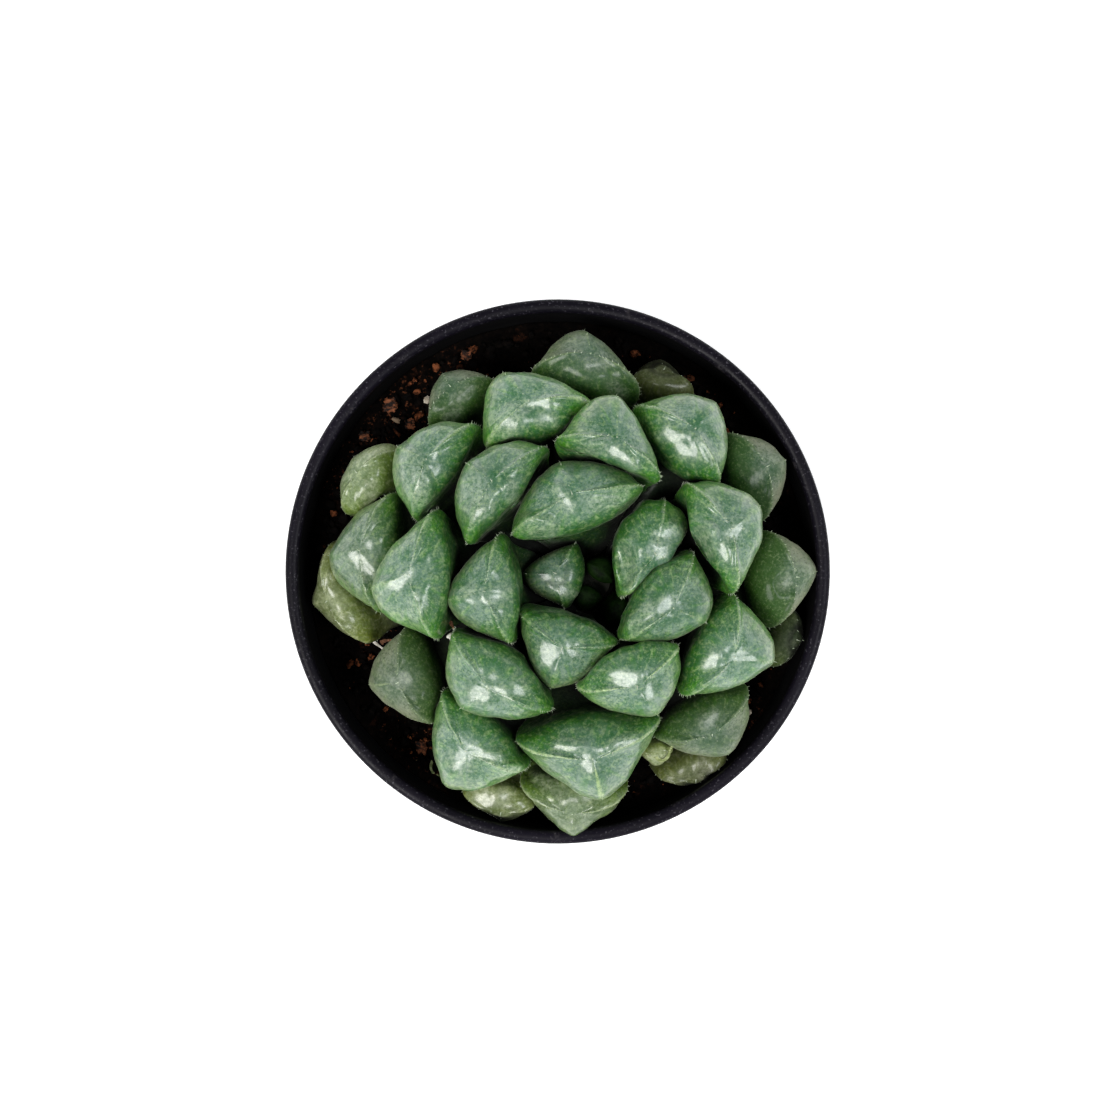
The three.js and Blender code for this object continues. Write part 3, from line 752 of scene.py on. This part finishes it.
def skin_colour(shader, at):
    """Windows and patches, a pale outer rim partly painted as rim light, green corners and veins,
    under dust and speckles, with a painted highlight and painted shade.
    """
    remap, times = shader.remap, shader.times
    tint = {part: shader.mix(at.dry, young, old) for part, (young, old) in TINTS.items()}
    bands = shader.stretched_noise(at.map, (26, 1.6, 1), 2, 0.5)
    speckle = shader.noise(at.place, 2400, 4, 0.75)
    grainy = remap(at.off, 2.6, 0.6, 0.65, 1.0)
    striped = times(remap(at.to_tip, 1.5, 4.0), remap(at.share, 0.3, 0.9, 0.55, 1.0))
    lined = remap(at.to_tip, 0.5, 2.0)
    corner = times(remap(at.off, 0.35, 1.5, 1.0, 0.0), remap(at.share, 0.35, 0.85))
    colour = shader.layers(
        tint["window"],
        (tint["patch"], remap(at.patches, 0.42, 0.64)),
        # Deeper green on the inner face towards the gaps: partly its own colour, partly painted shade.
        (tint["inner"], at.inside, remap(at.share, 0.12, 0.70), 0.90),
        # A pale outer rim: partly the window's own pale edge, partly painted rim light.
        (tint["rim"], remap(at.share, 0.35, 0.85), at.outside, 0.85),
        (tint["margin"], remap(bands, 0.50, 0.62), striped, 0.70),
        (tint["vein"], remap(at.stripes, 0.54, 0.66), striped, 0.55),
        (tint["margin"], corner, remap(at.mottle, 0.25, 0.7, 0.95, 0.55)),
        # Painted shade down the body below the head, where it sinks into the gaps, over its own darker
        # green.
        (tint["flank"], remap(at.share, 1.05, 1.9, 0.0, 0.85)),
        (tint["vein"], remap(at.off, 0.05, 0.15, 1.0, 0.0), lined, at.line),
        (tint["vein"], remap(at.off, 2.88, 2.96), at.outside, lined, at.keel_line),
        (tint["patch"], remap(at.mottle, 0.44, 0.66, 0.0, 0.65)),
        (tint["vein"], remap(at.mottle, 0.48, 0.32, 0.0, 0.38)),
        (DUST, at.dusty, at.outside, remap(at.share, 0.0, 0.7), remap(at.patches, 0.62, 0.40, 0.5, 1.0)),
        # Painted shade on the inner side of the grey outer leaves, tucked under the leaves above.
        (tint["flank"], at.dusty, at.inside, remap(at.share, 0.05, 0.5), 0.8),
        # Painted highlight: a whitish tint over the places shaped to catch the lamps.
        (tint["cloud"], at.cloud, remap(at.mottle, 0.62, 0.36, 0.25, 1.0), 0.40),
        (tint["flank"], remap(speckle, 0.50, 0.64, 0.0, 0.68), grainy),
        (tint["vein"], remap(speckle, 0.47, 0.34, 0.0, 0.48), grainy),
    )
    # Painted shade: darker where a point sees less of the sky past its neighbours, times the leaf's
    # shade.
    shade = times(at.shade, remap(at.sky, 0.10, 0.44, 0.01, 1.0))
    grey = shader.node("CombineColor", {0: shade, 1: shade, 2: shade}).outputs[0]
    return shader.mix(1.0, colour, grey, "MULTIPLY")


def skin_relief(shader, at):
    """Fine radial folds in some places, rings round the tip in others, ripples and frost."""
    folded = shader.times(shader.remap(at.patches, 0.44, 0.60), shader.remap(at.to_tip, 2.0, 4.5))
    folds = shader.bump(shader.times(at.stripes, folded), 0.00010, 0.8)
    wander = shader.times(shader.noise(at.place, 260, 2), 9.0)
    waves = shader.math("SINE", shader.math("ADD", shader.times(at.to_tip, 4.6), wander))
    ringed = shader.times(waves, at.ringed, shader.remap(at.to_tip, 1.0, 3.0))
    rings = shader.bump(ringed, 0.00004, 0.8, folds)
    ripples = shader.bump(shader.noise(at.place, 1000, 3, 0.55), 0.00014, 0.7, rings)
    return shader.bump(shader.noise(at.place, 2800, 3, 0.65), 0.00006, 0.7, ripples)


def leaf_skin():
    """Frosted, slightly translucent skin, glossy where it is bright, open and clean."""
    shader = new_material("leaf_skin")
    remap = shader.remap
    at = skin_fields(shader)
    glossy = shader.times(
        remap(at.shade, 0.25, 0.9), remap(at.sky, 0.08, 0.42), remap(at.dusty, 0.0, 1.0, 1.0, 0.35)
    )
    dull = shader.math("SUBTRACT", 1.0, glossy)
    return shader.finish(
        Base_Color=skin_colour(shader, at),
        Roughness=shader.math("ADD", remap(at.mottle, 0.3, 0.7, 0.28, 0.46), shader.times(dull, 0.45)),
        Normal=skin_relief(shader, at),
        Subsurface_Weight=0.08,
        Subsurface_Radius=(0.7, 1.0, 0.5),
        Subsurface_Scale=0.0009,
        Specular_IOR_Level=0.30,
        Coat_Weight=shader.times(glossy, 0.72),
        Coat_Roughness=0.21,
        Sheen_Weight=0.12,
        Sheen_Roughness=0.20,
        Sheen_Tint=(0.85, 0.95, 0.75),
    )


def shaded_bud_skin():
    """The skin of the leaves deep in the middle: their dark green, darkened nearly to black as painted
    shade.
    """
    shader = new_material("shaded_bud_skin")
    mottle = shader.noise(shader.place(), 900, 4, 0.65)
    dark, light = (0.001, 0.005, 0.0004), (0.005, 0.016, 0.002)
    return shader.finish(
        Base_Color=shader.mix(shader.remap(mottle, 0.35, 0.65), dark, light),
        Roughness=0.6,
        Normal=shader.bump(mottle, 0.0001, 0.6),
        Specular_IOR_Level=0.06,
    )


def tooth_material():
    shader = new_material("leaf_tooth")
    pale = shader.noise(shader.place(), 900)
    return shader.finish(
        Base_Color=shader.mix(pale, (0.30, 0.40, 0.24), (0.50, 0.56, 0.42)),
        Roughness=0.5,
        Subsurface_Weight=0.2,
        Subsurface_Radius=(0.5, 0.8, 0.4),
        Subsurface_Scale=0.0006,
    )


# ---- Leaves: putting one together ----
def set_leaf_map(mesh, column, to_tip):
    """A flat map of the leaf: its column across and the distance to its tip up, in centimetres."""
    columns = grid_points(column)
    reach = grid_points(to_tip) / (10 * MM)
    layer = mesh.uv_layers.new(name="leaf_map")
    for polygon in mesh.polygons:
        numbers = list(polygon.vertices)
        across = columns[numbers]
        if np.ptp(across) > COLUMNS / 2:
            across = np.where(across < COLUMNS / 2, across + COLUMNS, across)
        for loop, number, value in zip(polygon.loop_indices, numbers, across):
            layer.data[loop].uv = (value / COLUMNS, reach[number])


def make_leaf(name, order, skin, tooth):
    """One finished leaf, with what its skin goes by stored at its points."""
    number = order + 1
    rng = np.random.default_rng(100 + order)
    rows = filled_out(leaf_rows(name))
    rows = np.concatenate([rows, open_sky(rows)[:, :, None]], axis=2)
    smooth_grid, widest = along(around(rows))
    grid, at = shaped_leaf(smooth_grid[:, :, :3], widest, number, order * 1.37)
    mesh = grid_mesh(name + "_skin", grid)
    set_leaf_map(mesh, at.column, at.to_tip)
    over_leaf = {
        "to_tip": at.to_tip / MM,
        "share": at.share,
        "outside": smoothstep(2.5, 3.5, wrapped(at.column, INSIDE)),
        "sky": smooth_grid[:, :, 3],
        "cloud": at.cloud,
    }
    for key, values in over_leaf.items():
        set_attribute(mesh, key, grid_points(values))
    shade, dry, dusty = LOOKS.get(number, FRESH)
    of_leaf = {
        "line": MARGIN_LINES.get(number, rng.uniform(0.1, 0.5)),
        "keel_line": KEEL_LINES.get(number, rng.uniform(0.0, 0.3)),
        "ringed": 1.0 if number in RINGED else rng.uniform(0.0, 0.25) * (1 - dusty),
        "shade": shade * rng.uniform(0.92, 1.06),
        "tone": order * 0.37,
        "dry": dry,
        "dusty": dusty,
    }
    for key, value in of_leaf.items():
        set_attribute(mesh, key, np.full(len(mesh.vertices), value))
    if name not in SHADED:
        add_teeth(mesh, grid, at.to_tip, dry, rng)
    add_piece(mesh, "old_leaf" if name in OLD_LEAVES else "leaf", [skin, tooth], name)


def make_leaves():
    skin, shaded, tooth = leaf_skin(), shaded_bud_skin(), tooth_material()
    for order, name in enumerate(LEAF_NAMES):
        make_leaf(name, order, shaded if name in SHADED else skin, tooth)


# ---- Pot ----
POT = Group(
    foot=29 * MM,  # the radius of its foot
    foot_band=5.5 * MM,  # the flat ring that it stands on
    rise=1.2 * MM,  # of its underside over that ring
    body=39.4 * MM,  # the radius of its wall, below the collar's step
    collar=(41 * MM, 41.5 * MM),  # the collar's radius at its foot and under the lip
    collar_foot=55 * MM,
    collar_step=1.6 * MM,
    lip_height=2.6 * MM,
    lip_band=2.1 * MM,
    wall=1.1 * MM,
    floor=1.6 * MM,
    gate=1.6 * MM,  # the radius of the small nub where the mould was filled
    sides=192,
)
DRAIN = Group(radius=3 * MM, circle=15 * MM, count=6, sides=40, length=10 * MM)


def rounded(profile, steps=5):
    """The points of a profile whose rows are radius, height and how far to round the corner."""
    points = [Vector(profile[0][:2])]
    for before, (*corner, reach), after in zip(profile, profile[1:], profile[2:]):
        corner = Vector(corner)
        arms = [Vector(other[:2]) - corner for other in (before, after)]
        reach = min(reach, *(arm.length * 0.45 for arm in arms))
        start, end = (corner + arm.normalized() * reach for arm in arms)
        for t in np.linspace(0, 1, steps):
            points.append(start * (1 - t) ** 2 + corner * 2 * t * (1 - t) + end * t**2)
    return [*points, Vector(profile[-1][:2])]


def pot_profile():
    """The pot's outline from the middle of its underside, over the lip, to the middle of its floor."""
    underside, gate_face = POT.rise, POT.rise - 0.35 * MM
    band = POT.foot - POT.foot_band
    lip_foot = RIM_HEIGHT - POT.lip_height
    inside = RIM_RADIUS - POT.lip_band
    step = POT.collar_foot - POT.collar_step
    floor = POT.rise + POT.floor
    low_wall = POT.foot + (POT.body - POT.foot) / step * floor - POT.wall
    return rounded(
        [
            (0, gate_face, 0),
            (POT.gate, gate_face, 0.2 * MM),
            (POT.gate + 0.2 * MM, underside, 0.2 * MM),
            (band - 1.0 * MM, underside, 0.4 * MM),
            (band, 0, 0.4 * MM),
            (POT.foot - 0.9 * MM, 0, 0.6 * MM),
            (POT.foot, 0.9 * MM, 0.6 * MM),
            (POT.body, step, 0.5 * MM),
            (POT.collar[0], POT.collar_foot, 0.5 * MM),
            (POT.collar[1], lip_foot, 0.3 * MM),
            (RIM_RADIUS, lip_foot + 0.4 * MM, 0.5 * MM),
            (RIM_RADIUS, RIM_HEIGHT, 1.0 * MM),
            (inside, RIM_HEIGHT, 1.0 * MM),
            (inside, lip_foot, 0.3 * MM),
            (POT.collar[0] - POT.wall, POT.collar_foot, 0.5 * MM),
            (POT.body - POT.wall, step, 0.5 * MM),
            (low_wall, floor, 1.2 * MM),
            (0, floor, 0),
        ]
    )


def drill_mesh(x, y):
    """A round bar through the pot's floor."""
    shape = bmesh.new()
    bmesh.ops.create_cone(
        shape,
        cap_ends=True,
        segments=DRAIN.sides,
        radius1=DRAIN.radius,
        radius2=DRAIN.radius,
        depth=DRAIN.length,
        matrix=Matrix.Translation((x, y, POT.rise)),
    )
    mesh = bpy.data.meshes.new("drain_drill")
    shape.to_mesh(mesh)
    shape.free()
    return mesh


def add_drain_holes(pot):
    """Cuts the round holes through the pot's floor."""
    for x, y in ring(DRAIN.circle, DRAIN.count):
        drill = add_object("drain_drill", drill_mesh(x, y))
        cut = pot.modifiers.new("drain", "BOOLEAN")
        cut.operation = "DIFFERENCE"
        cut.object = drill
        with bpy.context.temp_override(object=pot, active_object=pot):
            bpy.ops.object.modifier_apply(modifier=cut.name)
        bpy.data.meshes.remove(drill.data)
    pot.data.set_sharp_from_angle(angle=math.radians(50))


def pot_material():
    """Black moulded plastic: fine texture, rubbed edges, a little dust, splashed soil, painted shade
    inside.
    """
    shader = new_material("pot_plastic")
    remap = shader.remap
    place = shader.place()
    inner = shader.attribute("inner")
    grime = shader.noise(place, 260, 6, 0.7)
    near_lip = remap(shader.height(place), RIM_HEIGHT - 5 * MM, RIM_HEIGHT - 0.5 * MM)
    specks = remap(shader.noise(place, 2600, 3, 0.6), 0.58, 0.72)
    colour = shader.layers(
        (0.0040, 0.0034, 0.0060),
        ((0.0070, 0.0056, 0.0105), remap(shader.noise(place, 60, 5, 0.65), 0.30, 0.75)),
        ((0.065, 0.058, 0.062), remap(grime, 0.60, 0.72), remap(near_lip, 0.0, 1.0, 0.15, 0.5)),
        ((0.075, 0.070, 0.085), specks, remap(near_lip, 0.0, 1.0, 0.25, 0.8)),
        # Painted shade: the inside of the wall darker below the lip.
        ((0.0010, 0.0009, 0.0014), inner),
    )
    texture = shader.bump(shader.noise(place, 1400, 3, 0.6), 0.00003, 0.5)
    scratches = shader.stretched_noise(place, (90, 900, 900), 4, 0.7)
    return shader.finish(
        Base_Color=colour,
        Roughness=shader.math("ADD", remap(grime, 0.3, 0.75, 0.30, 0.52), shader.times(inner, 0.5)),
        Normal=shader.bump(scratches, 0.00003, 0.4, texture),
        Specular_IOR_Level=0.09,
    )


def make_pot():
    """The pot's shell, swept round its axis, with the inside of its wall marked for painted shade."""
    rows = [[(x, y, height) for x, y in ring(radius, POT.sides)] for radius, height in pot_profile()]
    mesh = grid_mesh("pot_shell", rows)
    inward = [-vertex.normal.dot(Vector((*vertex.co.xy, 0)).normalized()) for vertex in mesh.vertices]
    depth = [RIM_HEIGHT - vertex.co.z for vertex in mesh.vertices]
    inner = smoothstep(0.2, 0.8, np.array(inward)) * smoothstep(0.4 * MM, 2 * MM, np.array(depth))
    set_attribute(mesh, "inner", inner)
    add_drain_holes(add_piece(mesh, "pot_plastic", [pot_material()], "nursery_pot"))


# ---- Soil ----
SOIL = Group(
    radius=39.95 * MM,
    edge=39.2 * MM,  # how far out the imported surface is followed
    level=58 * MM,
    least=56.8 * MM,  # the lowest that it is taken to be
    rings=110,
    sides=300,
)
# Radius and height of the rings under the soil's surface, down the pot's wall and to its floor.
SOIL_SIDE = (
    (SOIL.radius - 0.5 * MM, 54.5 * MM),
    (37.9 * MM, 52 * MM),
    (28.6 * MM, 6 * MM),
    (27.6 * MM, 3.1 * MM),
    (0, 3.1 * MM),
)
SOIL_LAYERS = ((0.55 * MM, 3.2 * MM), (0.40 * MM, 1.3 * MM), (0.18 * MM, 0.55 * MM))  # height, size
# Places with more bark in the soil: x, y and how far it spreads, in mm.
BARKY = ((-25, 26, 6), (-19, 31, 4), (-36, 17, 4), (-20, -27, 5), (31, -25, 4))


def bark_share(x, y):
    """How much bark there is in the soil at a place, from 0 to 1."""
    away = [math.hypot(x / MM - place_x, y / MM - place_y) for place_x, place_y, _ in BARKY]
    return max(float(bell(distance, spread)) for distance, (_, _, spread) in zip(away, BARKY))


def packed_soil_height(x, y):
    """Height of the packed soil's surface, carried on level past its edge and across the stem."""
    shrink = min(1.0, SOIL.edge / max(math.hypot(x, y), MM))
    hit = SOIL_TREE.ray_cast(Vector((x * shrink, y * shrink, RIM_HEIGHT)), Vector((0, 0, -1)))[0]
    return max(hit.z, SOIL.least) if hit else SOIL.level


def soil_height(x, y):
    """Height of the finished soil's surface, with its crumbs and hollows."""
    height = packed_soil_height(x, y)
    for rise, spread in SOIL_LAYERS:
        height += rise * (1 - 2.2 * abs(noise.noise(Vector((x / spread, y / spread, 7.3)))))
    return height


def make_soil_surface(peat):
    """The soil from its surface down the pot's wall to the floor, seen through the drain holes."""
    sides = SOIL.sides
    radii = np.linspace(0, SOIL.radius, SOIL.rings)
    top = [[(x, y, soil_height(x, y)) for x, y in ring(radius, sides)] for radius in radii]
    side = [[(x, y, height) for x, y in ring(radius, sides)] for radius, height in SOIL_SIDE]
    mesh = grid_mesh("soil_bed", top + side)
    set_attribute(mesh, "bark", [bark_share(vertex.co.x, vertex.co.y) for vertex in mesh.vertices])
    add_piece(mesh, "soil", [peat], "soil")


def lump_shape(rng, subdivisions, square, rough):
    """An irregular lump 1 across: its points and its triangles."""
    shape = bmesh.new()
    bmesh.ops.create_icosphere(shape, subdivisions=subdivisions, radius=0.5)
    shift = Vector(rng.uniform(-50, 50, 3))
    points = []
    for vertex in shape.verts:
        way = vertex.co.normalized()
        way = Vector([math.copysign(abs(part) ** square, part) for part in way])
        bumps = noise.noise(way * 2.1 + shift) + 0.5 * noise.noise(way * 5.0 + shift)
        points.append(way * 0.5 * (1 + rough * bumps))
    faces = [[vertex.index for vertex in face.verts] for face in shape.faces]
    shape.free()
    points = np.array(points)
    return points / np.ptp(points, axis=0), np.array(faces)


def random_turn(rng):
    """A random rotation as a matrix of numbers."""
    axis = Vector(rng.normal(size=3)).normalized()
    return np.array(Matrix.Rotation(rng.uniform(0, 2 * math.pi), 3, axis))


CRUMBS = Group(count=6500, kinds=10, least=0.28 * MM, most=2.1 * MM, reach=RIM_RADIUS - 4.2 * MM)


def make_crumbs(peat):
    """Loose crumbs of peat, bark and grit over the soil, as one mesh."""
    rng = np.random.default_rng(7)
    shapes = [lump_shape(rng, 2, 0.75, 0.5) for _ in range(CRUMBS.kinds)]
    points, faces, hues = [], [], []
    count = 0
    for _ in range(CRUMBS.count):
        radius = CRUMBS.reach * math.sqrt(rng.uniform(0, 1))
        turn = rng.uniform(0, 2 * math.pi)
        x, y = radius * math.cos(turn), radius * math.sin(turn)
        size = CRUMBS.least + (CRUMBS.most - CRUMBS.least) * rng.uniform() ** 3.4
        place = Vector((x, y, soil_height(x, y) + size * rng.uniform(0.0, 0.25)))
        if LEAF_TREE.find_nearest(place, size * 0.8)[0] is not None:
            continue
        hue = rng.uniform(0, 1) ** (3.6 - 2.9 * bark_share(x, y))
        shape, triangles = shapes[rng.integers(len(shapes))]
        scale = size * np.array([1, rng.uniform(0.5, 1), rng.uniform(0.35, 0.8)])
        points.append((shape * scale) @ random_turn(rng).T + np.array(place))
        faces.append(triangles + count)
        hues.append(np.full(len(shape), hue))
        count += len(shape)
    mesh = mesh_from("soil_crumbs", np.concatenate(points), np.concatenate(faces), outward=False)
    set_attribute(mesh, "hue", np.concatenate(hues))
    add_piece(mesh, "soil", [peat])


def soil_material():
    """Damp peat: nearly black, with rusty grains."""
    shader = new_material("soil_peat")
    remap = shader.remap
    place = shader.place()
    grain = shader.noise(place, 900, 5, 0.7)
    flecks = remap(shader.noise(place, 1100, 4, 0.75), 0.56, 0.68)
    colour = shader.layers(
        (0.0003, 0.0002, 0.0002),
        ((0.0035, 0.0020, 0.0014), remap(grain, 0.35, 0.7)),
        ((0.045, 0.016, 0.008), remap(shader.noise(place, 330, 4, 0.7), 0.60, 0.75, 0.0, 0.6)),
        ((0.150, 0.052, 0.024), flecks, shader.attribute("bark")),
    )
    relief = shader.bump(grain, 0.0005, 0.8)
    return shader.finish(Base_Color=colour, Roughness=0.92, Normal=relief, Specular_IOR_Level=0.05)


def crumb_material():
    """Peat crumbs by their own hue: most black-brown, some rusty bark, a few pale."""
    shader = new_material("soil_crumb")
    remap = shader.remap
    hue = shader.attribute("hue")
    grain = shader.noise(shader.place(), 1500, 4, 0.7)
    bark = shader.mix(remap(grain, 0.36, 0.66), (0.012, 0.004, 0.002), (0.300, 0.095, 0.038))
    pale = shader.mix(grain, (0.16, 0.10, 0.06), (0.34, 0.26, 0.18))
    colour = shader.layers(
        (0.0004, 0.0003, 0.0003),
        ((0.0045, 0.0026, 0.0018), remap(grain, 0.35, 0.7)),
        (bark, remap(hue, 0.62, 0.80)),
        (pale, remap(hue, 0.965, 0.98)),
    )
    relief = shader.bump(grain, 0.0003, 0.8)
    return shader.finish(Base_Color=colour, Roughness=0.85, Normal=relief, Specular_IOR_Level=0.08)


# ---- Bark, grit and dried bits ----
# The dark and the light colour of each kind's layers.
LITTER = {
    "bark_layers": ((0.006, 0.0022, 0.0012), (0.280, 0.092, 0.038)),
    "grit_grain": ((0.30, 0.25, 0.18), (0.62, 0.56, 0.46)),
    "splinter_fibre": ((0.50, 0.47, 0.40), (0.85, 0.83, 0.76)),
    "shred_fibre": ((0.16, 0.20, 0.07), (0.36, 0.40, 0.20)),
    "stalk_fibre": ((0.060, 0.022, 0.010), (0.260, 0.120, 0.060)),
}
SHRED = ((-19.2, -29.8), (-20.3, -31.0), (-20.1, -32.1), (-18.9, -32.8), (-17.4, -33.0))  # in mm
# Thin dried strands on the leaves: each one's material and width in mm, and its path in the
# photograph's pixels with heights over the rim in mm.
STRANDS = {
    "dried_curl": (
        "shred_fibre",
        0.70,
        ((656, 756, 0.7), (661, 760, 0.6), (666, 758, 0.9), (669, 751, 1.6), (672, 743, 3.3)),
    ),
    "dried_stalk": (
        "stalk_fibre",
        0.75,
        ((447, 617, 5.0), (453, 622, 7.3), (457, 628, 8.6), (462, 632, 9.4)),
    ),
    "dried_flake": ("splinter_fibre", 1.00, ((451, 633, 8.4), (455, 637, 9.2), (460, 641, 9.6))),
    "dried_husk": ("stalk_fibre", 0.80, ((379, 644, -5.0), (385, 641, -1.5), (394, 640, 1.4))),
}
# Longer bristles at the leaves' corners: the foot and the end in the photograph's pixels.
BRISTLES = (
    ((545, 705), (555, 709)),
    ((582, 677), (574, 675)),
    ((582, 683), (574, 683)),
    ((585, 688), (578, 691)),
    ((448, 689), (444, 683)),
)


def layered_material(name, dark, light):
    """Woody or stony stuff in fine flat layers."""
    shader = new_material(name)
    layers = shader.stretched_noise(shader.place(), (500, 1100, 2600), 4, 0.65)
    return shader.finish(
        Base_Color=shader.mix(shader.remap(layers, 0.42, 0.62), dark, light),
        Roughness=0.8,
        Normal=shader.bump(layers, 0.00025, 0.9),
        Specular_IOR_Level=0.3,
    )


def make_chunk(name, skin, slot, seed, square, rough):
    """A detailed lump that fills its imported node's box."""
    low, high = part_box(name)
    points, faces = lump_shape(np.random.default_rng(seed), 4, square, rough)
    points = points * np.array(high - low) + np.array((low + high) / 2)
    add_piece(mesh_from(name + "_piece", points, faces), slot, [skin], name)


def sweep(path, widths, flatness, sides=10):
    """The grid of a rod along a path, with its width at each point and its height as a share of it."""
    ahead = np.gradient(path, axis=0)
    ahead /= np.linalg.norm(ahead, axis=1, keepdims=True)
    side = np.cross(ahead, (0, 0, 1))
    side /= np.linalg.norm(side, axis=1, keepdims=True)
    up = np.cross(side, ahead) * flatness
    turns = (np.arange(sides) * 2 * math.pi / sides)[None, :, None]
    arms = np.cos(turns) * side[:, None, :] + np.sin(turns) * up[:, None, :]
    rows = path[:, None, :] + arms * widths[:, None, None] / 2
    first = np.repeat(path[:1, None], sides, axis=1)
    last = np.repeat(path[-1:, None], sides, axis=1)
    return np.concatenate([first, rows, last])


def node_ends(name):
    """The middles of a rod-shaped node's two ends."""
    points, _ = joined_mesh(NODES[name].data)
    far = points - points.mean(axis=0)
    reach = far @ np.linalg.svd(far, full_matrices=False)[2][0]
    ends = (reach < reach.min() + 0.3 * MM, reach > reach.max() - 0.3 * MM)
    return [points[end].mean(axis=0) for end in ends]


def make_splinter(skin):
    """The flat white splinter beside the lowest leaves."""
    start, end = node_ends("pale_splinter")
    share = np.linspace(0, 1, 24)
    path = start + (end - start) * share[:, None]
    path[:, 2] += 0.25 * MM * np.sin(share * 5)
    widths = (0.62 - 0.3 * share + 0.08 * np.sin(share * 23)) * MM
    mesh = grid_mesh("pale_splinter_piece", sweep(path, widths, 0.45))
    add_piece(mesh, "pale_litter", [skin], "pale_splinter")


def make_shred(skin):
    """The curled dried shred on the soil."""
    share = np.linspace(0, 1, 40)
    points = [(x * MM, y * MM, packed_soil_height(x * MM, y * MM) + 0.55 * MM) for x, y in SHRED]
    path = smooth_path(points, len(share))
    path[:, 2] += 0.35 * MM * np.sin(share * 4)
    mesh = grid_mesh("dried_shred_piece", sweep(path, (0.55 - 0.32 * share) * MM, 0.5))
    add_piece(mesh, "pale_litter", [skin], "dried_shred")


def make_strand(name, skin, width, places):
    """A flat dried strand that narrows to its end."""
    share = np.linspace(0, 1, 40)
    path = smooth_path([(*rim_place(x, y), RIM_HEIGHT + high * MM) for x, y, high in places], len(share))
    widths = width * MM * (1 - 0.65 * share + 0.12 * np.sin(share * 17))
    add_piece(grid_mesh(name, sweep(path, widths, 0.35)), "pale_litter", [skin])


def make_bristles(skin):
    """A few bristles that stand out from the leaves, as one mesh."""
    share = np.linspace(-0.2, 1, 10)
    points, faces = [], []
    for foot, end in BRISTLES:
        place = Vector((*rim_place(*foot), RIM_HEIGHT))
        start = LEAF_TREE.ray_cast(EYE, (place - EYE).normalized())[0]
        reach = Vector((*(rim_place(*end) - rim_place(*foot)), -0.15 * MM))
        path = np.array(start) + np.array(reach) * share[:, None]
        grid = sweep(path, 0.22 * MM * (1.05 - share), 1.0, 6)
        faces += [[len(points) + number for number in face] for face in grid_faces(*grid.shape[:2])]
        points += grid_points(grid).tolist()
    add_piece(mesh_from("leaf_bristles", points, faces), "leaf", [skin])


def make_litter():
    stuff = {name: layered_material(name, *colours) for name, colours in LITTER.items()}
    for seed, name in enumerate(named("chip_bark"), 20):
        make_chunk(name, stuff["bark_layers"], "bark_chip", seed, 0.55, 0.55)
    for seed, name in enumerate(named("chip_grit"), 40):
        make_chunk(name, stuff["grit_grain"], "grit", seed, 0.8, 0.35)
    make_splinter(stuff["splinter_fibre"])
    make_shred(stuff["shred_fibre"])
    for name, (fibre, width, places) in STRANDS.items():
        make_strand(name, stuff[fibre], width, places)
    make_bristles(tooth_material())


def finish_stem():
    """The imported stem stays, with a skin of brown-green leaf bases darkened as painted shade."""
    shader = new_material("stem_bark")
    rings = shader.stretched_noise(shader.place(), (200, 200, 900), 4, 0.6)
    # Its own brown-green, darkened nearly to black as painted shade deep in the rosette.
    colour = shader.mix(rings, (0.003, 0.004, 0.002), (0.014, 0.016, 0.007))
    bark = shader.finish(Base_Color=colour, Roughness=0.8, Normal=shader.bump(rings, 0.0003, 0.8))
    NODES["stem"].data.materials.clear()
    NODES["stem"].data.materials.append(bark)


# ---- Stage, light and camera ----
def make_floor():
    reach = 12.0
    corners = [(-reach, -reach, 0), (reach, -reach, 0), (reach, reach, 0), (-reach, reach, 0)]
    mesh = mesh_from("floor", corners, [(0, 1, 2, 3)], outward=False)
    shader = new_material("floor_paper")
    grain = shader.noise(shader.place(), 40)
    paper = shader.finish(
        Base_Color=shader.mix(grain, (0.92, 0.92, 0.92), (0.94, 0.94, 0.94)),
        Roughness=0.9,
        Emission_Color=(1.0, 1.0, 1.0),
        Emission_Strength=0.45,
    )
    mesh.materials.append(paper)
    floor = add_object("floor", mesh)


def make_lamps():
    for name, (_, strength, spread, colour) in LAMPS.items():
        light = bpy.data.lights.new(name, "SUN")
        light.energy = strength
        light.angle = math.radians(spread)
        light.color = colour
        lamp = add_object(name, light)
        lamp.rotation_euler = LAMP_WAYS[name].to_track_quat("Z", "Y").to_euler()


def make_world():
    """A studio that is white near the horizon and dim overhead."""
    shader = Shader(bpy.data.worlds.new("studio"), "Background")
    strength = shader.remap(shader.height(shader.place("Generated")), 0.10, 0.78, 1.5, 0.13)
    bpy.context.scene.world = shader.finish(Color=(0.95, 0.97, 1.0), Strength=strength)


def make_camera():
    camera = bpy.data.cameras.new("camera")
    camera.sensor_width = CAMERA.sensor
    camera.lens = CAMERA.sensor * CAMERA.above_rim / CAMERA.width_at_rim
    camera.clip_start = 0.01
    holder = add_object("camera", camera)
    holder.location = EYE
    bpy.context.scene.camera = holder


make_leaves()
make_pot()
make_soil_surface(soil_material())
make_crumbs(crumb_material())
make_litter()
finish_stem()

make_floor()
make_world()
make_lamps()
make_camera()

bpy.context.scene.view_settings.view_transform = "Standard"
